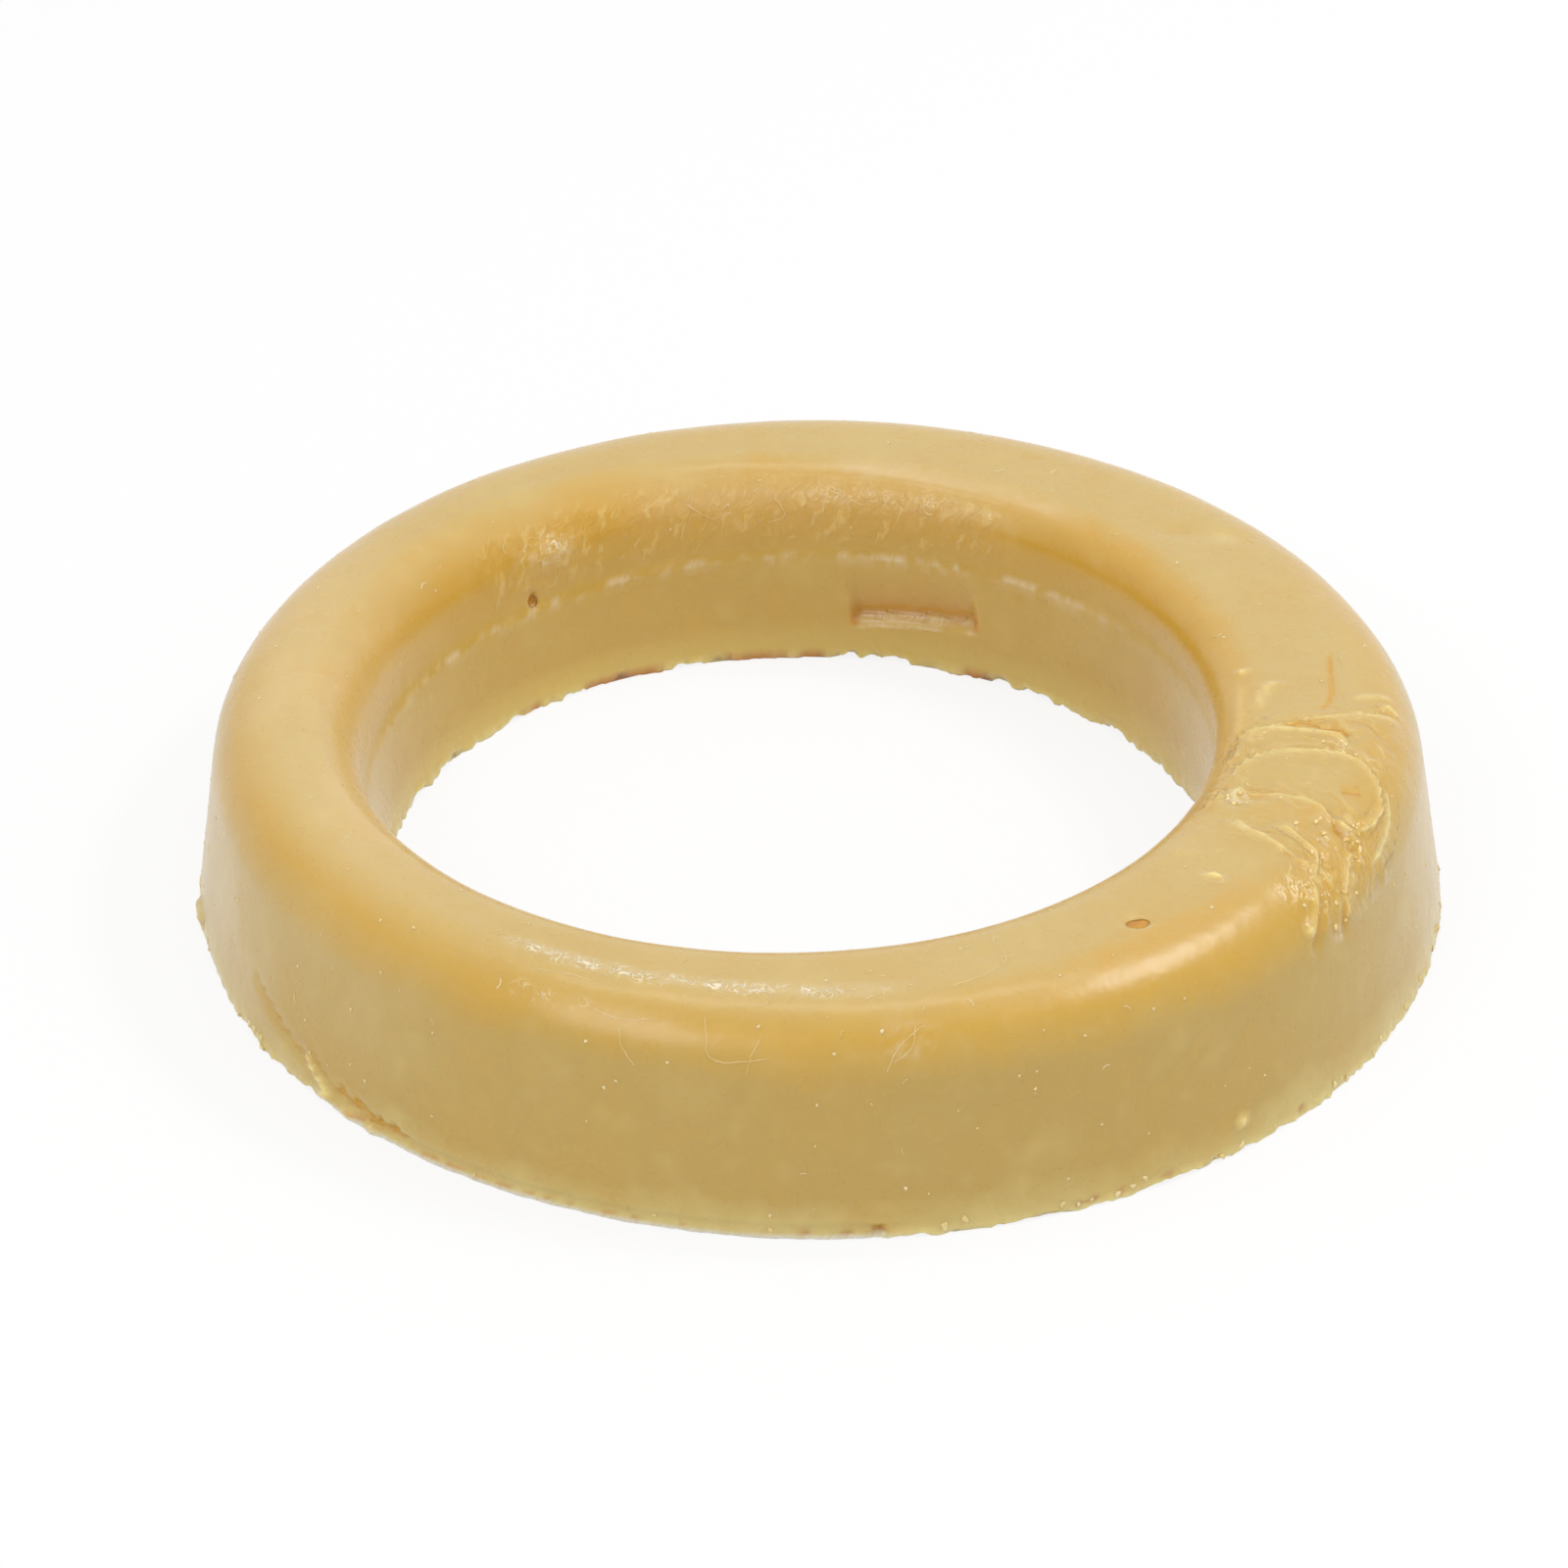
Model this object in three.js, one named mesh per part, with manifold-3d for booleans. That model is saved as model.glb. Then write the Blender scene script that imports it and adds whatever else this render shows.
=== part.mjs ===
// Toilet pan seal: one ring of soft petroleum wax that is squeezed between a pan and a soil pipe.
// It is a revolved section with a drafted outer wall, a rounded crown and a hole whose core sat
// a little off centre, then the marks of handling: tongues of wax smeared over one arm, a torn
// foot, ragged base edges, a moulded pocket, pinholes and crumbs.
// Units are millimetres and degrees. +Z is up, the origin is the centre of the base on its
// underside, and an angle of 0 points along +X, to the middle of the smeared arm.
import * as THREE from 'three';
import { mergeVertices } from 'three/addons/utils/BufferGeometryUtils.js';
import Module from 'manifold-3d';

// Section of the ring
const BASE_RADIUS = 70;         // outer edge of the base
const HEIGHT = 24.4;            // base to crown
const OUTER_DRAFT = 8;          // lean of the outer wall
const OUTER_SHOULDER = 8.7;     // radius from the outer wall to the crown
const HOLE_RADIUS = 47.2;       // edge of the hole at the base
const CORE_DRAFT = 0.7;         // lean of the lower wall of the hole
const LEDGE_HEIGHT = 14.7;      // where the mould's core ended, measured from the base
const LEDGE_WIDTH = 0.4;        // step that the end of the core left
const LEDGE_TILT = 2.5;         // the core's end sloped up towards +X
const THROAT_DRAFT = 1.5;       // lean of the short wall above the ledge
const INNER_SHOULDER = 6;       // radius from the throat to the crown

// How far the parts of the section stand off the base's centre, along X
const HOLE_OFFSET = -1.8;       // hole at the base
const RIM_OFFSET = -4.5;        // mouth of the hole at the crown
const CROWN_OFFSET = -0.5;      // outer side at the crown
const OFFSET_BLEND = 6;         // width of crown over which the two sides' offsets meet

// Unevenness of the cast skin and of its two base edges
const SWELL = 0.12;             // slow waves of the skin
const OUTER_BURR = 0.45;        // raggedness of the outer base edge
const INNER_BURR = 0.6;         // raggedness of the hole's base edge

// Pocket that an insert left in the far wall of the hole
const POCKET = { angle: 73.3, width: 14.9, top: 13.2, deepest: 6.75, bottom: 5, depth: 1.6, tilt: -3.4 };
const POCKET_SWEEP = 0.2;       // how fast the pocket comes out towards its top: 1/2 is straight

// Lines and spots on the skin are placed by an angle round the ring and a distance across it,
// which is 0 on the middle of the crown, positive outwards and negative into the hole.

// Tongues of smeared wax, each with a free edge that laps over the one behind it
const TONGUES = [
  { edge: [[-12, -5.4], [-7.4, -2.6], [-4.9, -0.2], [-4.2, 3], [-1.6, 9]],
    lift: 0.5, run: 3.5, undercut: 0.3 },
  { edge: [[-15.5, -5.6], [-10.6, -4.8], [-8.4, -1], [-8.7, 1.5], [-10.2, 3.6]],
    lift: 0.95, run: 3, undercut: 0.85 },
  { edge: [[-20.5, -5.4], [-15.6, -3.5], [-12.9, -1], [-12.5, 2.4], [-13.8, 5.8], [-16.3, 8], [-19.2, 9.1],
    [-24.8, 7.2]], lift: 0.85, run: 4.6, undercut: 0.35 },
  { edge: [[-27, -5.6], [-22.6, -3.4], [-21.6, -1], [-22.6, 2.2], [-24.2, 5.2]],
    lift: 0.7, run: 4.6, undercut: 0.8 },
  { edge: [[-27.6, 0.8], [-29.2, 3.4], [-30.2, 6.2], [-33, 7.8]], lift: 0.5, run: 2.6, undercut: 0.35 },
];

// Grooves and ridges, as deep (or as high, where positive) as their height and as wide as given
const CREASES = [
  { name: 'crack behind the first tongue', line: [[10.3, 2.1], [5, 1.5], [-4.6, 0.4]],
    height: -0.4, width: 0.5 },
  { name: 'pit under the second tongue', line: [[-6.4, -1.6], [-6.6, 0.8], [-7.6, 3.2]],
    height: -0.75, width: 0.9 },
  { name: 'groove behind the third tongue', line: [[-24.4, 5], [-25.6, 7.2], [-26.4, 9.4]],
    height: -0.7, width: 0.6 },
  { name: 'gouge below the last tongue', line: [[-32.4, 2.6], [-32.8, 6.2]], height: -0.55, width: 0.9 },
  { name: 'thumb dimple', line: [[-19.8, 4], [-18.4, 6.4]], height: -0.3, width: 1.3 },
  { name: 'inner run of dragged wax', line: [[-33.5, 8.4], [-35.5, 10.4], [-38.5, 12.6]],
    height: 0.5, width: 0.8 },
  { name: 'outer run of dragged wax', line: [[-28, 10.2], [-30.4, 11.4], [-32, 14]],
    height: 0.45, width: 0.7 },
];

// Torn foot, placed by angle and height above the base
const FOOT_SLAB = {
  edge: [[-154, 8.4], [-150.4, 6.6], [-146.4, 4.9], [-143.2, 3.8], [-140.6, 2.4]],
  lift: 0.4, run: 3, undercut: 0.35,
};
const FOOT_GASH = { line: [[-139.4, 3], [-135.6, 2], [-129.2, 1.3]], height: -1.1, width: 0.8 };
const FOOT_TAB = {
  line: [[-143.2, 4.6], [-141.4, 3.3], [-139.6, 2.1], [-138.4, 1.1]],
  height: 0.75, width: 0.7,
};
const FOOT_KNOB = { line: [[-173.6, 1.9], [-169.8, 1.4]], height: 0.7, width: 0.9 };

// Small blemishes: [angle, across], size along the ring, across it and through the skin
const PINHOLES = [
  { at: [-52.8, 1.1], size: [2.3, 1.2, 2.2] },
  { at: [129, -16.4], size: [1.2, 1.2, 2] },
];
const DENTS = [
  { at: [39.6, -0.4], size: [3.2, 4.6, 0.7] },
];
const CRUMBS = [
  { at: [-40.5, 0.8], size: [1.5, 1.5, 1.1] },
  { at: [-49.6, 28.2], size: [1, 1, 0.8] },
];

// Fineness of the facets
const STATIONS = 132;           // sections round the ring
const STEPS = { wall: 8, shoulder: 8, crown: 4, rim: 6, throat: 2, ledge: 1, core: 5, base: 3 };
const CLOSE_SPANS = [           // stations crowd together where the wax is worked
  { from: -44, to: 12, closeness: 3.2 },
  { from: -156, to: -124, closeness: 2.2 },
];
const SPAN_BLEND = 8;           // degrees over which the crowding fades
const ANGLE_GRAIN = 24;         // trial steps for each station
const LINE_GRAIN = 8;           // chords for each point of a line on the skin
const POCKET_STEPS = { up: 5, along: 8 };
const BLEMISH_FACETS = [10, 6];
const END_FADE = 0.16;          // part of a line over which it rises and dies away

const { degToRad, smoothstep } = THREE.MathUtils;
const FULL_TURN = 360;

// Section

// Centre of an arc that leaves a leaning wall and ends level with the crown
function shoulderCentre(footRadius, footHeight, draft, radius, side) {
  const tangentHeight = HEIGHT - radius + radius * Math.sin(degToRad(draft));
  const tangentRadius = footRadius - side * (tangentHeight - footHeight) * Math.tan(degToRad(draft));
  return new THREE.Vector2(tangentRadius - side * radius * Math.cos(degToRad(draft)), HEIGHT - radius);
}

function sectionStretches() {
  const at = (r, z) => new THREE.Vector2(r, z);
  const line = (from, to) => new THREE.LineCurve(from, to);
  const arc = (centre, radius, from, to) => new THREE.EllipseCurve(
    centre.x, centre.y, radius, radius, degToRad(from), degToRad(to), false);
  const ledgeInner = at(HOLE_RADIUS + LEDGE_HEIGHT * Math.tan(degToRad(CORE_DRAFT)), LEDGE_HEIGHT);
  const ledgeOuter = at(ledgeInner.x + LEDGE_WIDTH, LEDGE_HEIGHT);
  const outer = shoulderCentre(BASE_RADIUS, 0, OUTER_DRAFT, OUTER_SHOULDER, 1);
  const inner = shoulderCentre(ledgeOuter.x, LEDGE_HEIGHT, THROAT_DRAFT, INNER_SHOULDER, -1);
  const outerArc = arc(outer, OUTER_SHOULDER, OUTER_DRAFT, 90);
  const innerArc = arc(inner, INNER_SHOULDER, 90, 180 - THROAT_DRAFT);
  const outerFoot = at(BASE_RADIUS, 0);
  const innerFoot = at(HOLE_RADIUS, 0);
  return [
    { name: 'wall', curve: line(outerFoot, outerArc.getPoint(0)) },
    { name: 'shoulder', curve: outerArc },
    { name: 'crown', curve: line(outerArc.getPoint(1), innerArc.getPoint(0)) },
    { name: 'rim', curve: innerArc },
    { name: 'throat', curve: line(innerArc.getPoint(1), ledgeOuter) },
    { name: 'ledge', curve: line(ledgeOuter, ledgeInner) },
    { name: 'core', curve: line(ledgeInner, innerFoot) },
    { name: 'base', curve: line(innerFoot, outerFoot) },
  ];
}

// Stops along the section, each with its outward direction and its distance across the skin
function sectionStops() {
  const stretches = sectionStretches();
  const stops = [];
  let travelled = 0;
  let crownMiddle = 0;
  for (const { name, curve } of stretches) {
    const length = curve.getLength();
    if (name === 'crown') crownMiddle = travelled + length / 2;
    for (let step = 0; step < STEPS[name]; step += 1) {
      const part = step / STEPS[name];
      const place = curve.getPointAt(part);
      const along = curve.getTangentAt(part);
      const gone = travelled + part * length;
      stops.push({ name, r: place.x, z: place.y, outR: along.y, outZ: -along.x, gone });
    }
    travelled += length;
  }
  return stops.map((stop) => ({ ...stop, across: crownMiddle - stop.gone }));
}

const STOPS = sectionStops();
const CROWN_STOP = STOPS.find((stop) => stop.name === 'crown');
const CROWN_RADIUS = CROWN_STOP.r - CROWN_STOP.across;

// Offset of a stop along X: the outer side leans with the crown, the hole with its mouth
function offsetX(across, z) {
  const rise = z / HEIGHT;
  const outer = CROWN_OFFSET * rise;
  const inner = HOLE_OFFSET + (RIM_OFFSET - HOLE_OFFSET) * rise;
  const blend = smoothstep(CROWN_STOP.across - across, 0, OFFSET_BLEND);
  return THREE.MathUtils.lerp(outer, inner, blend);
}

// Lines on the skin

function skinLine(points) {
  const curve = new THREE.CatmullRomCurve3(points.map(
    ([angle, across]) => new THREE.Vector3(degToRad(angle) * CROWN_RADIUS, across, 0)));
  return curve.getPoints((points.length - 1) * LINE_GRAIN);
}

// A height on the outer wall as a distance across the skin
function acrossAtHeight(height) {
  return STOPS[0].across - height / Math.cos(degToRad(OUTER_DRAFT));
}

function wallLine(points) {
  return skinLine(points.map(([angle, height]) => [angle, acrossAtHeight(height)]));
}

// Distance from a place to a line, positive on the left of its travel, and a fade at its ends
function measureToLine(line, x, y) {
  let best = { distance: Infinity, fade: 0 };
  for (let i = 0; i < line.length - 1; i += 1) {
    const from = line[i];
    const runX = line[i + 1].x - from.x;
    const runY = line[i + 1].y - from.y;
    const square = runX * runX + runY * runY;
    const part = THREE.MathUtils.clamp(((x - from.x) * runX + (y - from.y) * runY) / square, 0, 1);
    const offX = x - from.x - part * runX;
    const offY = y - from.y - part * runY;
    const distance = Math.hypot(offX, offY);
    if (distance < Math.abs(best.distance)) {
      const side = runX * offY - runY * offX >= 0 ? 1 : -1;
      const place = (i + part) / (line.length - 1);
      const fade = smoothstep(place, 0, END_FADE) * smoothstep(1 - place, 0, END_FADE);
      best = { distance: side * distance, fade };
    }
  }
  return best;
}

// A tongue stands up at its free edge, thins out over its run and hollows the wax behind it
function tongueHeight({ line, lift, run, undercut }, x, y) {
  const { distance, fade } = measureToLine(line, x, y);
  if (distance >= 0) return fade * lift * Math.exp(-distance / run);
  const behind = distance / lift;
  return -fade * undercut * Math.exp(-behind * behind) * smoothstep(-behind, 0, 1 / 2);
}

function creaseHeight({ line, height, width }, x, y) {
  const { distance, fade } = measureToLine(line, x, y);
  return fade * height * Math.exp(-((distance / width) ** 2));
}

const LAID_TONGUES = [
  ...TONGUES.map((tongue) => ({ ...tongue, line: skinLine(tongue.edge) })),
  { ...FOOT_SLAB, line: wallLine(FOOT_SLAB.edge) },
];
const LAID_CREASES = [
  ...CREASES.map((crease) => ({ ...crease, line: skinLine(crease.line) })),
  ...[FOOT_GASH, FOOT_TAB, FOOT_KNOB].map((crease) => ({ ...crease, line: wallLine(crease.line) })),
];

// How far the skin stands out at an angle and a distance across
function relief(angle, across) {
  const x = degToRad(angle) * CROWN_RADIUS;
  const turn = degToRad(angle);
  let height = SWELL * (Math.sin(3 * turn + across / 7) + Math.sin(7 * turn - across / 4)) / 2;
  for (const tongue of LAID_TONGUES) height += tongueHeight(tongue, x, across);
  for (const crease of LAID_CREASES) height += creaseHeight(crease, x, across);
  return height;
}

// Raggedness of a base edge, from -1 to 1, the same on every run
function ragged(station, row) {
  const wave = Math.sin(station * 12.9898 + row * 78.233) * 43758.5453;
  return 2 * (wave - Math.floor(wave)) - 1;
}

// Ring

function closenessAt(angle) {
  let closeness = 1;
  for (const span of CLOSE_SPANS) {
    const inside = smoothstep(angle, span.from - SPAN_BLEND, span.from + SPAN_BLEND)
      * (1 - smoothstep(angle, span.to - SPAN_BLEND, span.to + SPAN_BLEND));
    closeness += (span.closeness - 1) * inside;
  }
  return closeness;
}

// Angles of the stations, from -180 to 180
function stationAngles() {
  const trials = STATIONS * ANGLE_GRAIN;
  const step = FULL_TURN / trials;
  const reach = [0];
  for (let i = 0; i < trials; i += 1) {
    reach.push(reach[i] + closenessAt((i + 1 / 2) * step - FULL_TURN / 2));
  }
  const angles = [];
  let i = 0;
  for (let station = 0; station <= STATIONS; station += 1) {
    const goal = reach[trials] * station / STATIONS;
    while (i < trials - 1 && reach[i + 1] < goal) i += 1;
    const part = (goal - reach[i]) / (reach[i + 1] - reach[i]);
    angles.push((i + part) * step - FULL_TURN / 2);
  }
  return angles;
}

// Place of a stop of the section at an angle, with the relief of the skin or the ragged edge
function skinPlace(stop, angle, station) {
  const turn = degToRad(angle);
  const onBase = stop.z === 0;
  let r = stop.r;
  let z = stop.z;
  if (onBase) {
    if (stop.name === 'wall') r += relief(angle, stop.across) + OUTER_BURR * ragged(station, 0);
    if (stop.name === 'base' && stop.r === HOLE_RADIUS) r += INNER_BURR * ragged(station, 1) / 2;
  } else {
    const height = relief(angle, stop.across);
    r += height * stop.outR;
    z += height * stop.outZ;
    if (stop.name === 'ledge' || stop.name === 'throat') {
      const share = (HEIGHT - stop.z) / (HEIGHT - LEDGE_HEIGHT);
      z += stop.r * Math.cos(turn) * Math.tan(degToRad(LEDGE_TILT)) * share;
    }
  }
  const x = r * Math.cos(turn) + offsetX(stop.across, stop.z);
  return new THREE.Vector3(x, r * Math.sin(turn), z);
}

function ringGeometry() {
  const profile = [...STOPS, STOPS[0]].map((stop) => new THREE.Vector2(stop.r, stop.z));
  const ring = new THREE.LatheGeometry(profile, STATIONS);
  const angles = stationAngles();
  const position = ring.attributes.position;
  for (let i = 0; i < position.count; i += 1) {
    const station = Math.floor(i / profile.length);
    const stop = STOPS[(i % profile.length) % STOPS.length];
    const place = skinPlace(stop, angles[station], station % STATIONS);
    position.setXYZ(i, place.x, place.y, place.z);
  }
  return ring;
}

// Cutters and crumbs

// A frame on the skin: along the ring, across it and out of it
function skinFrame([angle, across]) {
  const next = STOPS.findIndex((stop) => stop.across <= across);
  const low = STOPS[next];
  const high = STOPS[Math.max(next - 1, 0)];
  const part = high === low ? 0 : (across - low.across) / (high.across - low.across);
  const r = THREE.MathUtils.lerp(low.r, high.r, part);
  const z = THREE.MathUtils.lerp(low.z, high.z, part);
  const turn = degToRad(angle);
  const along = new THREE.Vector3(-Math.sin(turn), Math.cos(turn), 0);
  const out = new THREE.Vector3(low.outR * Math.cos(turn), low.outR * Math.sin(turn), low.outZ);
  const over = new THREE.Vector3().crossVectors(out, along);
  const place = new THREE.Vector3(r * Math.cos(turn) + offsetX(across, z), r * Math.sin(turn), z);
  place.addScaledVector(out, relief(angle, across));
  return new THREE.Matrix4().makeBasis(along, over, out).setPosition(place);
}

function blemish({ at, size }) {
  const [alongSize, acrossSize, throughSize] = size;
  const ball = new THREE.SphereGeometry(1 / 2, ...BLEMISH_FACETS);
  ball.rotateX(Math.PI / 2);
  ball.scale(alongSize, acrossSize, throughSize);
  return ball.applyMatrix4(skinFrame(at));
}

// Wedge that cuts the pocket, bent round the hole's wall: it sinks slowly from its top to its
// deepest line and comes back over a short shelf
function pocketCutter() {
  const { angle, width, top, deepest, bottom, depth, tilt } = POCKET;
  const clear = depth + width / 2;
  const sweep = new THREE.QuadraticBezierCurve(
    new THREE.Vector2(depth, deepest),
    new THREE.Vector2(depth * POCKET_SWEEP, (deepest + top) / 2),
    new THREE.Vector2(0, top));
  const outline = new THREE.Shape([
    new THREE.Vector2(-clear, bottom),
    new THREE.Vector2(0, bottom),
    ...sweep.getPoints(POCKET_STEPS.up),
    new THREE.Vector2(-clear, top + clear),
  ]);
  const wedge = new THREE.ExtrudeGeometry(outline, {
    depth: width, steps: POCKET_STEPS.along, bevelEnabled: false });
  const position = wedge.attributes.position;
  for (let i = 0; i < position.count; i += 1) {
    const along = width / 2 - position.getZ(i);
    const z = position.getY(i) + along * Math.tan(degToRad(tilt));
    const r = HOLE_RADIUS + z * Math.tan(degToRad(CORE_DRAFT)) + position.getX(i);
    const turn = degToRad(angle) + along / HOLE_RADIUS;
    position.setXYZ(i, r * Math.cos(turn) + offsetX(-HEIGHT, z), r * Math.sin(turn), z);
  }
  return wedge;
}

// Solids

const wasm = await Module();
wasm.setup();

function toSolid(geometry) {
  const bare = geometry.clone();
  bare.deleteAttribute('normal');
  bare.deleteAttribute('uv');
  const merged = mergeVertices(bare);
  return new wasm.Manifold(new wasm.Mesh({
    numProp: 3,
    vertProperties: new Float32Array(merged.attributes.position.array),
    triVerts: new Uint32Array(merged.index.array),
  }));
}

function toGeometry(solid) {
  const mesh = solid.getMesh();
  const geometry = new THREE.BufferGeometry();
  geometry.setAttribute('position', new THREE.BufferAttribute(mesh.vertProperties, 3));
  geometry.setIndex(new THREE.BufferAttribute(mesh.triVerts, 1));
  geometry.computeVertexNormals();
  return geometry;
}

function waxRing() {
  let solid = toSolid(ringGeometry());
  for (const crumb of CRUMBS) solid = solid.add(toSolid(blemish(crumb)));
  for (const hollow of [...PINHOLES, ...DENTS]) solid = solid.subtract(toSolid(blemish(hollow)));
  solid = solid.subtract(toSolid(pocketCutter()));
  const wax = new THREE.MeshStandardMaterial({ color: 0xd2b26a, roughness: 0.5, metalness: 0 });
  const mesh = new THREE.Mesh(toGeometry(solid), wax);
  mesh.name = 'wax_ring';
  return mesh;
}

const group = new THREE.Group();
group.add(waxRing());

export default group;
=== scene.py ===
"""Finishes a toilet pan seal: one ring of soft petroleum wax, cast, handled and smeared.

The ring is swept from its section, pressed and torn where the wax was worked, and dressed with
the crumbs, shavings and threads of wax that cling to it. Sizes are in millimetres and degrees
unless a name says otherwise. An angle of 0 points along +X, to the middle of the smeared arm.
A place on the skin is an angle round the ring and a distance across it, which is 0 on the
middle of the crown, positive outwards and negative into the hole.
"""
import logging
import math
from dataclasses import dataclass, field
from enum import Enum

import bpy
import numpy as np
from mathutils import Matrix, Vector

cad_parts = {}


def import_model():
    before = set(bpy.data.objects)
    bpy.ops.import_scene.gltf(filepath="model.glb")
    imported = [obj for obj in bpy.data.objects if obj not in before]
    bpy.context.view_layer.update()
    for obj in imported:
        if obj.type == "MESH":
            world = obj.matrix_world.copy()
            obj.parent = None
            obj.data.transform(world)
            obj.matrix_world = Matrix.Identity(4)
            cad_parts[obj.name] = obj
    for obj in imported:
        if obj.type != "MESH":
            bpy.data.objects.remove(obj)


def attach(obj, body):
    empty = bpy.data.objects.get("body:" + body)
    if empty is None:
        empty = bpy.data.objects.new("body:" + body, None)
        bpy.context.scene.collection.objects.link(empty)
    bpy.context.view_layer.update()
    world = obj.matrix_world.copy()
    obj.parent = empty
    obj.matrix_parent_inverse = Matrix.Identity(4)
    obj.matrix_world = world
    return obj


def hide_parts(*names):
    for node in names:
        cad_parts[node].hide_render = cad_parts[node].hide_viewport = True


LOG = logging.getLogger("pan_seal")
MM = 0.001
NODE = "wax_ring"
BODY = "root"
FULL_TURN = 360.0
HALF_TURN = 180.0

TORN_PLACES = (
    (-22.8, -2.4, 1.6, 1.0), (-24.6, -2.2, 1.2, 0.7), (-11.7, 3.3, 1.2, 0.8), (-24.3, 6.9, 1.0, 1.0),
    (-26.2, 9.4, 0.7, 1.0), (-33.4, 14.4, 1.0, 1.0), (-30.6, 11.6, 1.1, 0.8), (-37.8, 11.8, 0.9, 0.9),
    (-27.6, 5.6, 1.6, 0.5), (-33.8, 9.2, 1.0, 0.6), (-3.0, 6.1, 0.7, 0.8), (-1.0, 8.0, 0.8, 0.5),
    (-27.5, 2.0, 3.5, 0.12), (-12.0, -4.6, 1.2, 0.4),
)
Points = tuple[tuple[float, float], ...]


def smoothstep(value: np.ndarray, low: float, high: float) -> np.ndarray:
    """Rises smoothly from 0 to 1 between two limits.

    Args:
        value: What is measured.
        low: Where the rise starts.
        high: Where it ends.

    Returns:
        The rise at each value.
    """
    part = np.clip((value - low) / (high - low), 0.0, 1.0)
    return part * part * (3.0 - 2.0 * part)


def window(value: np.ndarray, low: float, high: float, blend: float) -> np.ndarray:
    """A smooth mask that is 1 between two limits and fades to 0 outside them.

    Args:
        value: What is measured.
        low: Lower limit.
        high: Upper limit.
        blend: Width of each fade, centred on its limit.

    Returns:
        The mask at each value.
    """
    half = blend / 2.0
    return smoothstep(value, low - half, low + half) * (1.0 - smoothstep(value, high - half, high + half))


def bell(value: np.ndarray, centre: float, width: float) -> np.ndarray:
    """1 at a centre, dying away smoothly on both sides of it."""
    return np.exp(-((value - centre) / width) ** 2)


def linear(red: int, green: int, blue: int) -> tuple[float, float, float, float]:
    """Turns a display colour of 0 to 255 into a linear one with an alpha of 1."""
    parts = [channel / 255.0 for channel in (red, green, blue)]
    bent = [p / 12.92 if p <= 0.04045 else ((p + 0.055) / 1.055) ** 2.4 for p in parts]
    return bent[0], bent[1], bent[2], 1.0


def put_in_scene(name: str, data: bpy.types.ID) -> bpy.types.Object:
    """Makes an object of a mesh, a lamp or a camera, and puts it in the scene."""
    made = bpy.data.objects.new(name, data)
    bpy.context.scene.collection.objects.link(made)
    return made


def read_points(mesh: bpy.types.Mesh) -> np.ndarray:
    """The place of each vertex, one row each."""
    places = np.empty(3 * len(mesh.vertices), dtype=np.float32)
    mesh.vertices.foreach_get("co", places)
    return places.reshape(-1, 3)


def read_column(mesh: bpy.types.Mesh, name: str) -> np.ndarray:
    """A named number of each vertex."""
    values = np.empty(len(mesh.vertices), dtype=np.float32)
    mesh.attributes[name].data.foreach_get("value", values)
    return values.astype(np.float64)


def write_column(mesh: bpy.types.Mesh, name: str, values: np.ndarray) -> None:
    """Keeps a named number on each vertex."""
    attribute = mesh.attributes.new(name, "FLOAT", "POINT")
    attribute.data.foreach_set("value", np.asarray(values, dtype=np.float32))


# Node graphs


class Value:
    """A socket that Python's operators can work on: each adds a Math node to its tree."""

    def __init__(self, graph: "Graph", socket: bpy.types.NodeSocket) -> None:
        """Wraps a socket of a graph."""
        self.graph = graph
        self.socket = socket

    def math(self, operation: str, *others: "Value | float", clamp: bool = False) -> "Value":
        """Adds one Math node.

        Args:
            operation: The node's operation.
            others: Its second and third inputs.
            clamp: Whether the result is held between 0 and 1.

        Returns:
            The node's result.
        """
        inputs = {i: value for i, value in enumerate((self, *others))}
        return self.graph.take("ShaderNodeMath", {"operation": operation, "use_clamp": clamp}, inputs)

    def __add__(self, other: "Value | float") -> "Value":
        """self + other."""
        return self.math("ADD", other)

    __radd__ = __add__

    def __sub__(self, other: "Value | float") -> "Value":
        """self - other."""
        return self.math("SUBTRACT", other)

    def __rsub__(self, other: "Value | float") -> "Value":
        """other - self."""
        return self.graph.wrap(other).math("SUBTRACT", self)

    def __mul__(self, other: "Value | float") -> "Value":
        """self * other."""
        return self.math("MULTIPLY", other)

    __rmul__ = __mul__

    def __truediv__(self, other: "Value | float") -> "Value":
        """self / other."""
        return self.math("DIVIDE", other)

    def __rtruediv__(self, other: "Value | float") -> "Value":
        """other / self."""
        return self.graph.wrap(other).math("DIVIDE", self)

    def clamped(self) -> "Value":
        """Held between 0 and 1."""
        return self.math("ADD", 0.0, clamp=True)

    def rise(self, low: float, high: float) -> "Value":
        """Rises smoothly from 0 to 1 between two limits, as smoothstep does."""
        settings = {"interpolation_type": "SMOOTHSTEP"}
        inputs = {"Value": self, "From Min": low, "From Max": high}
        return self.graph.take("ShaderNodeMapRange", settings, inputs)


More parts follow.
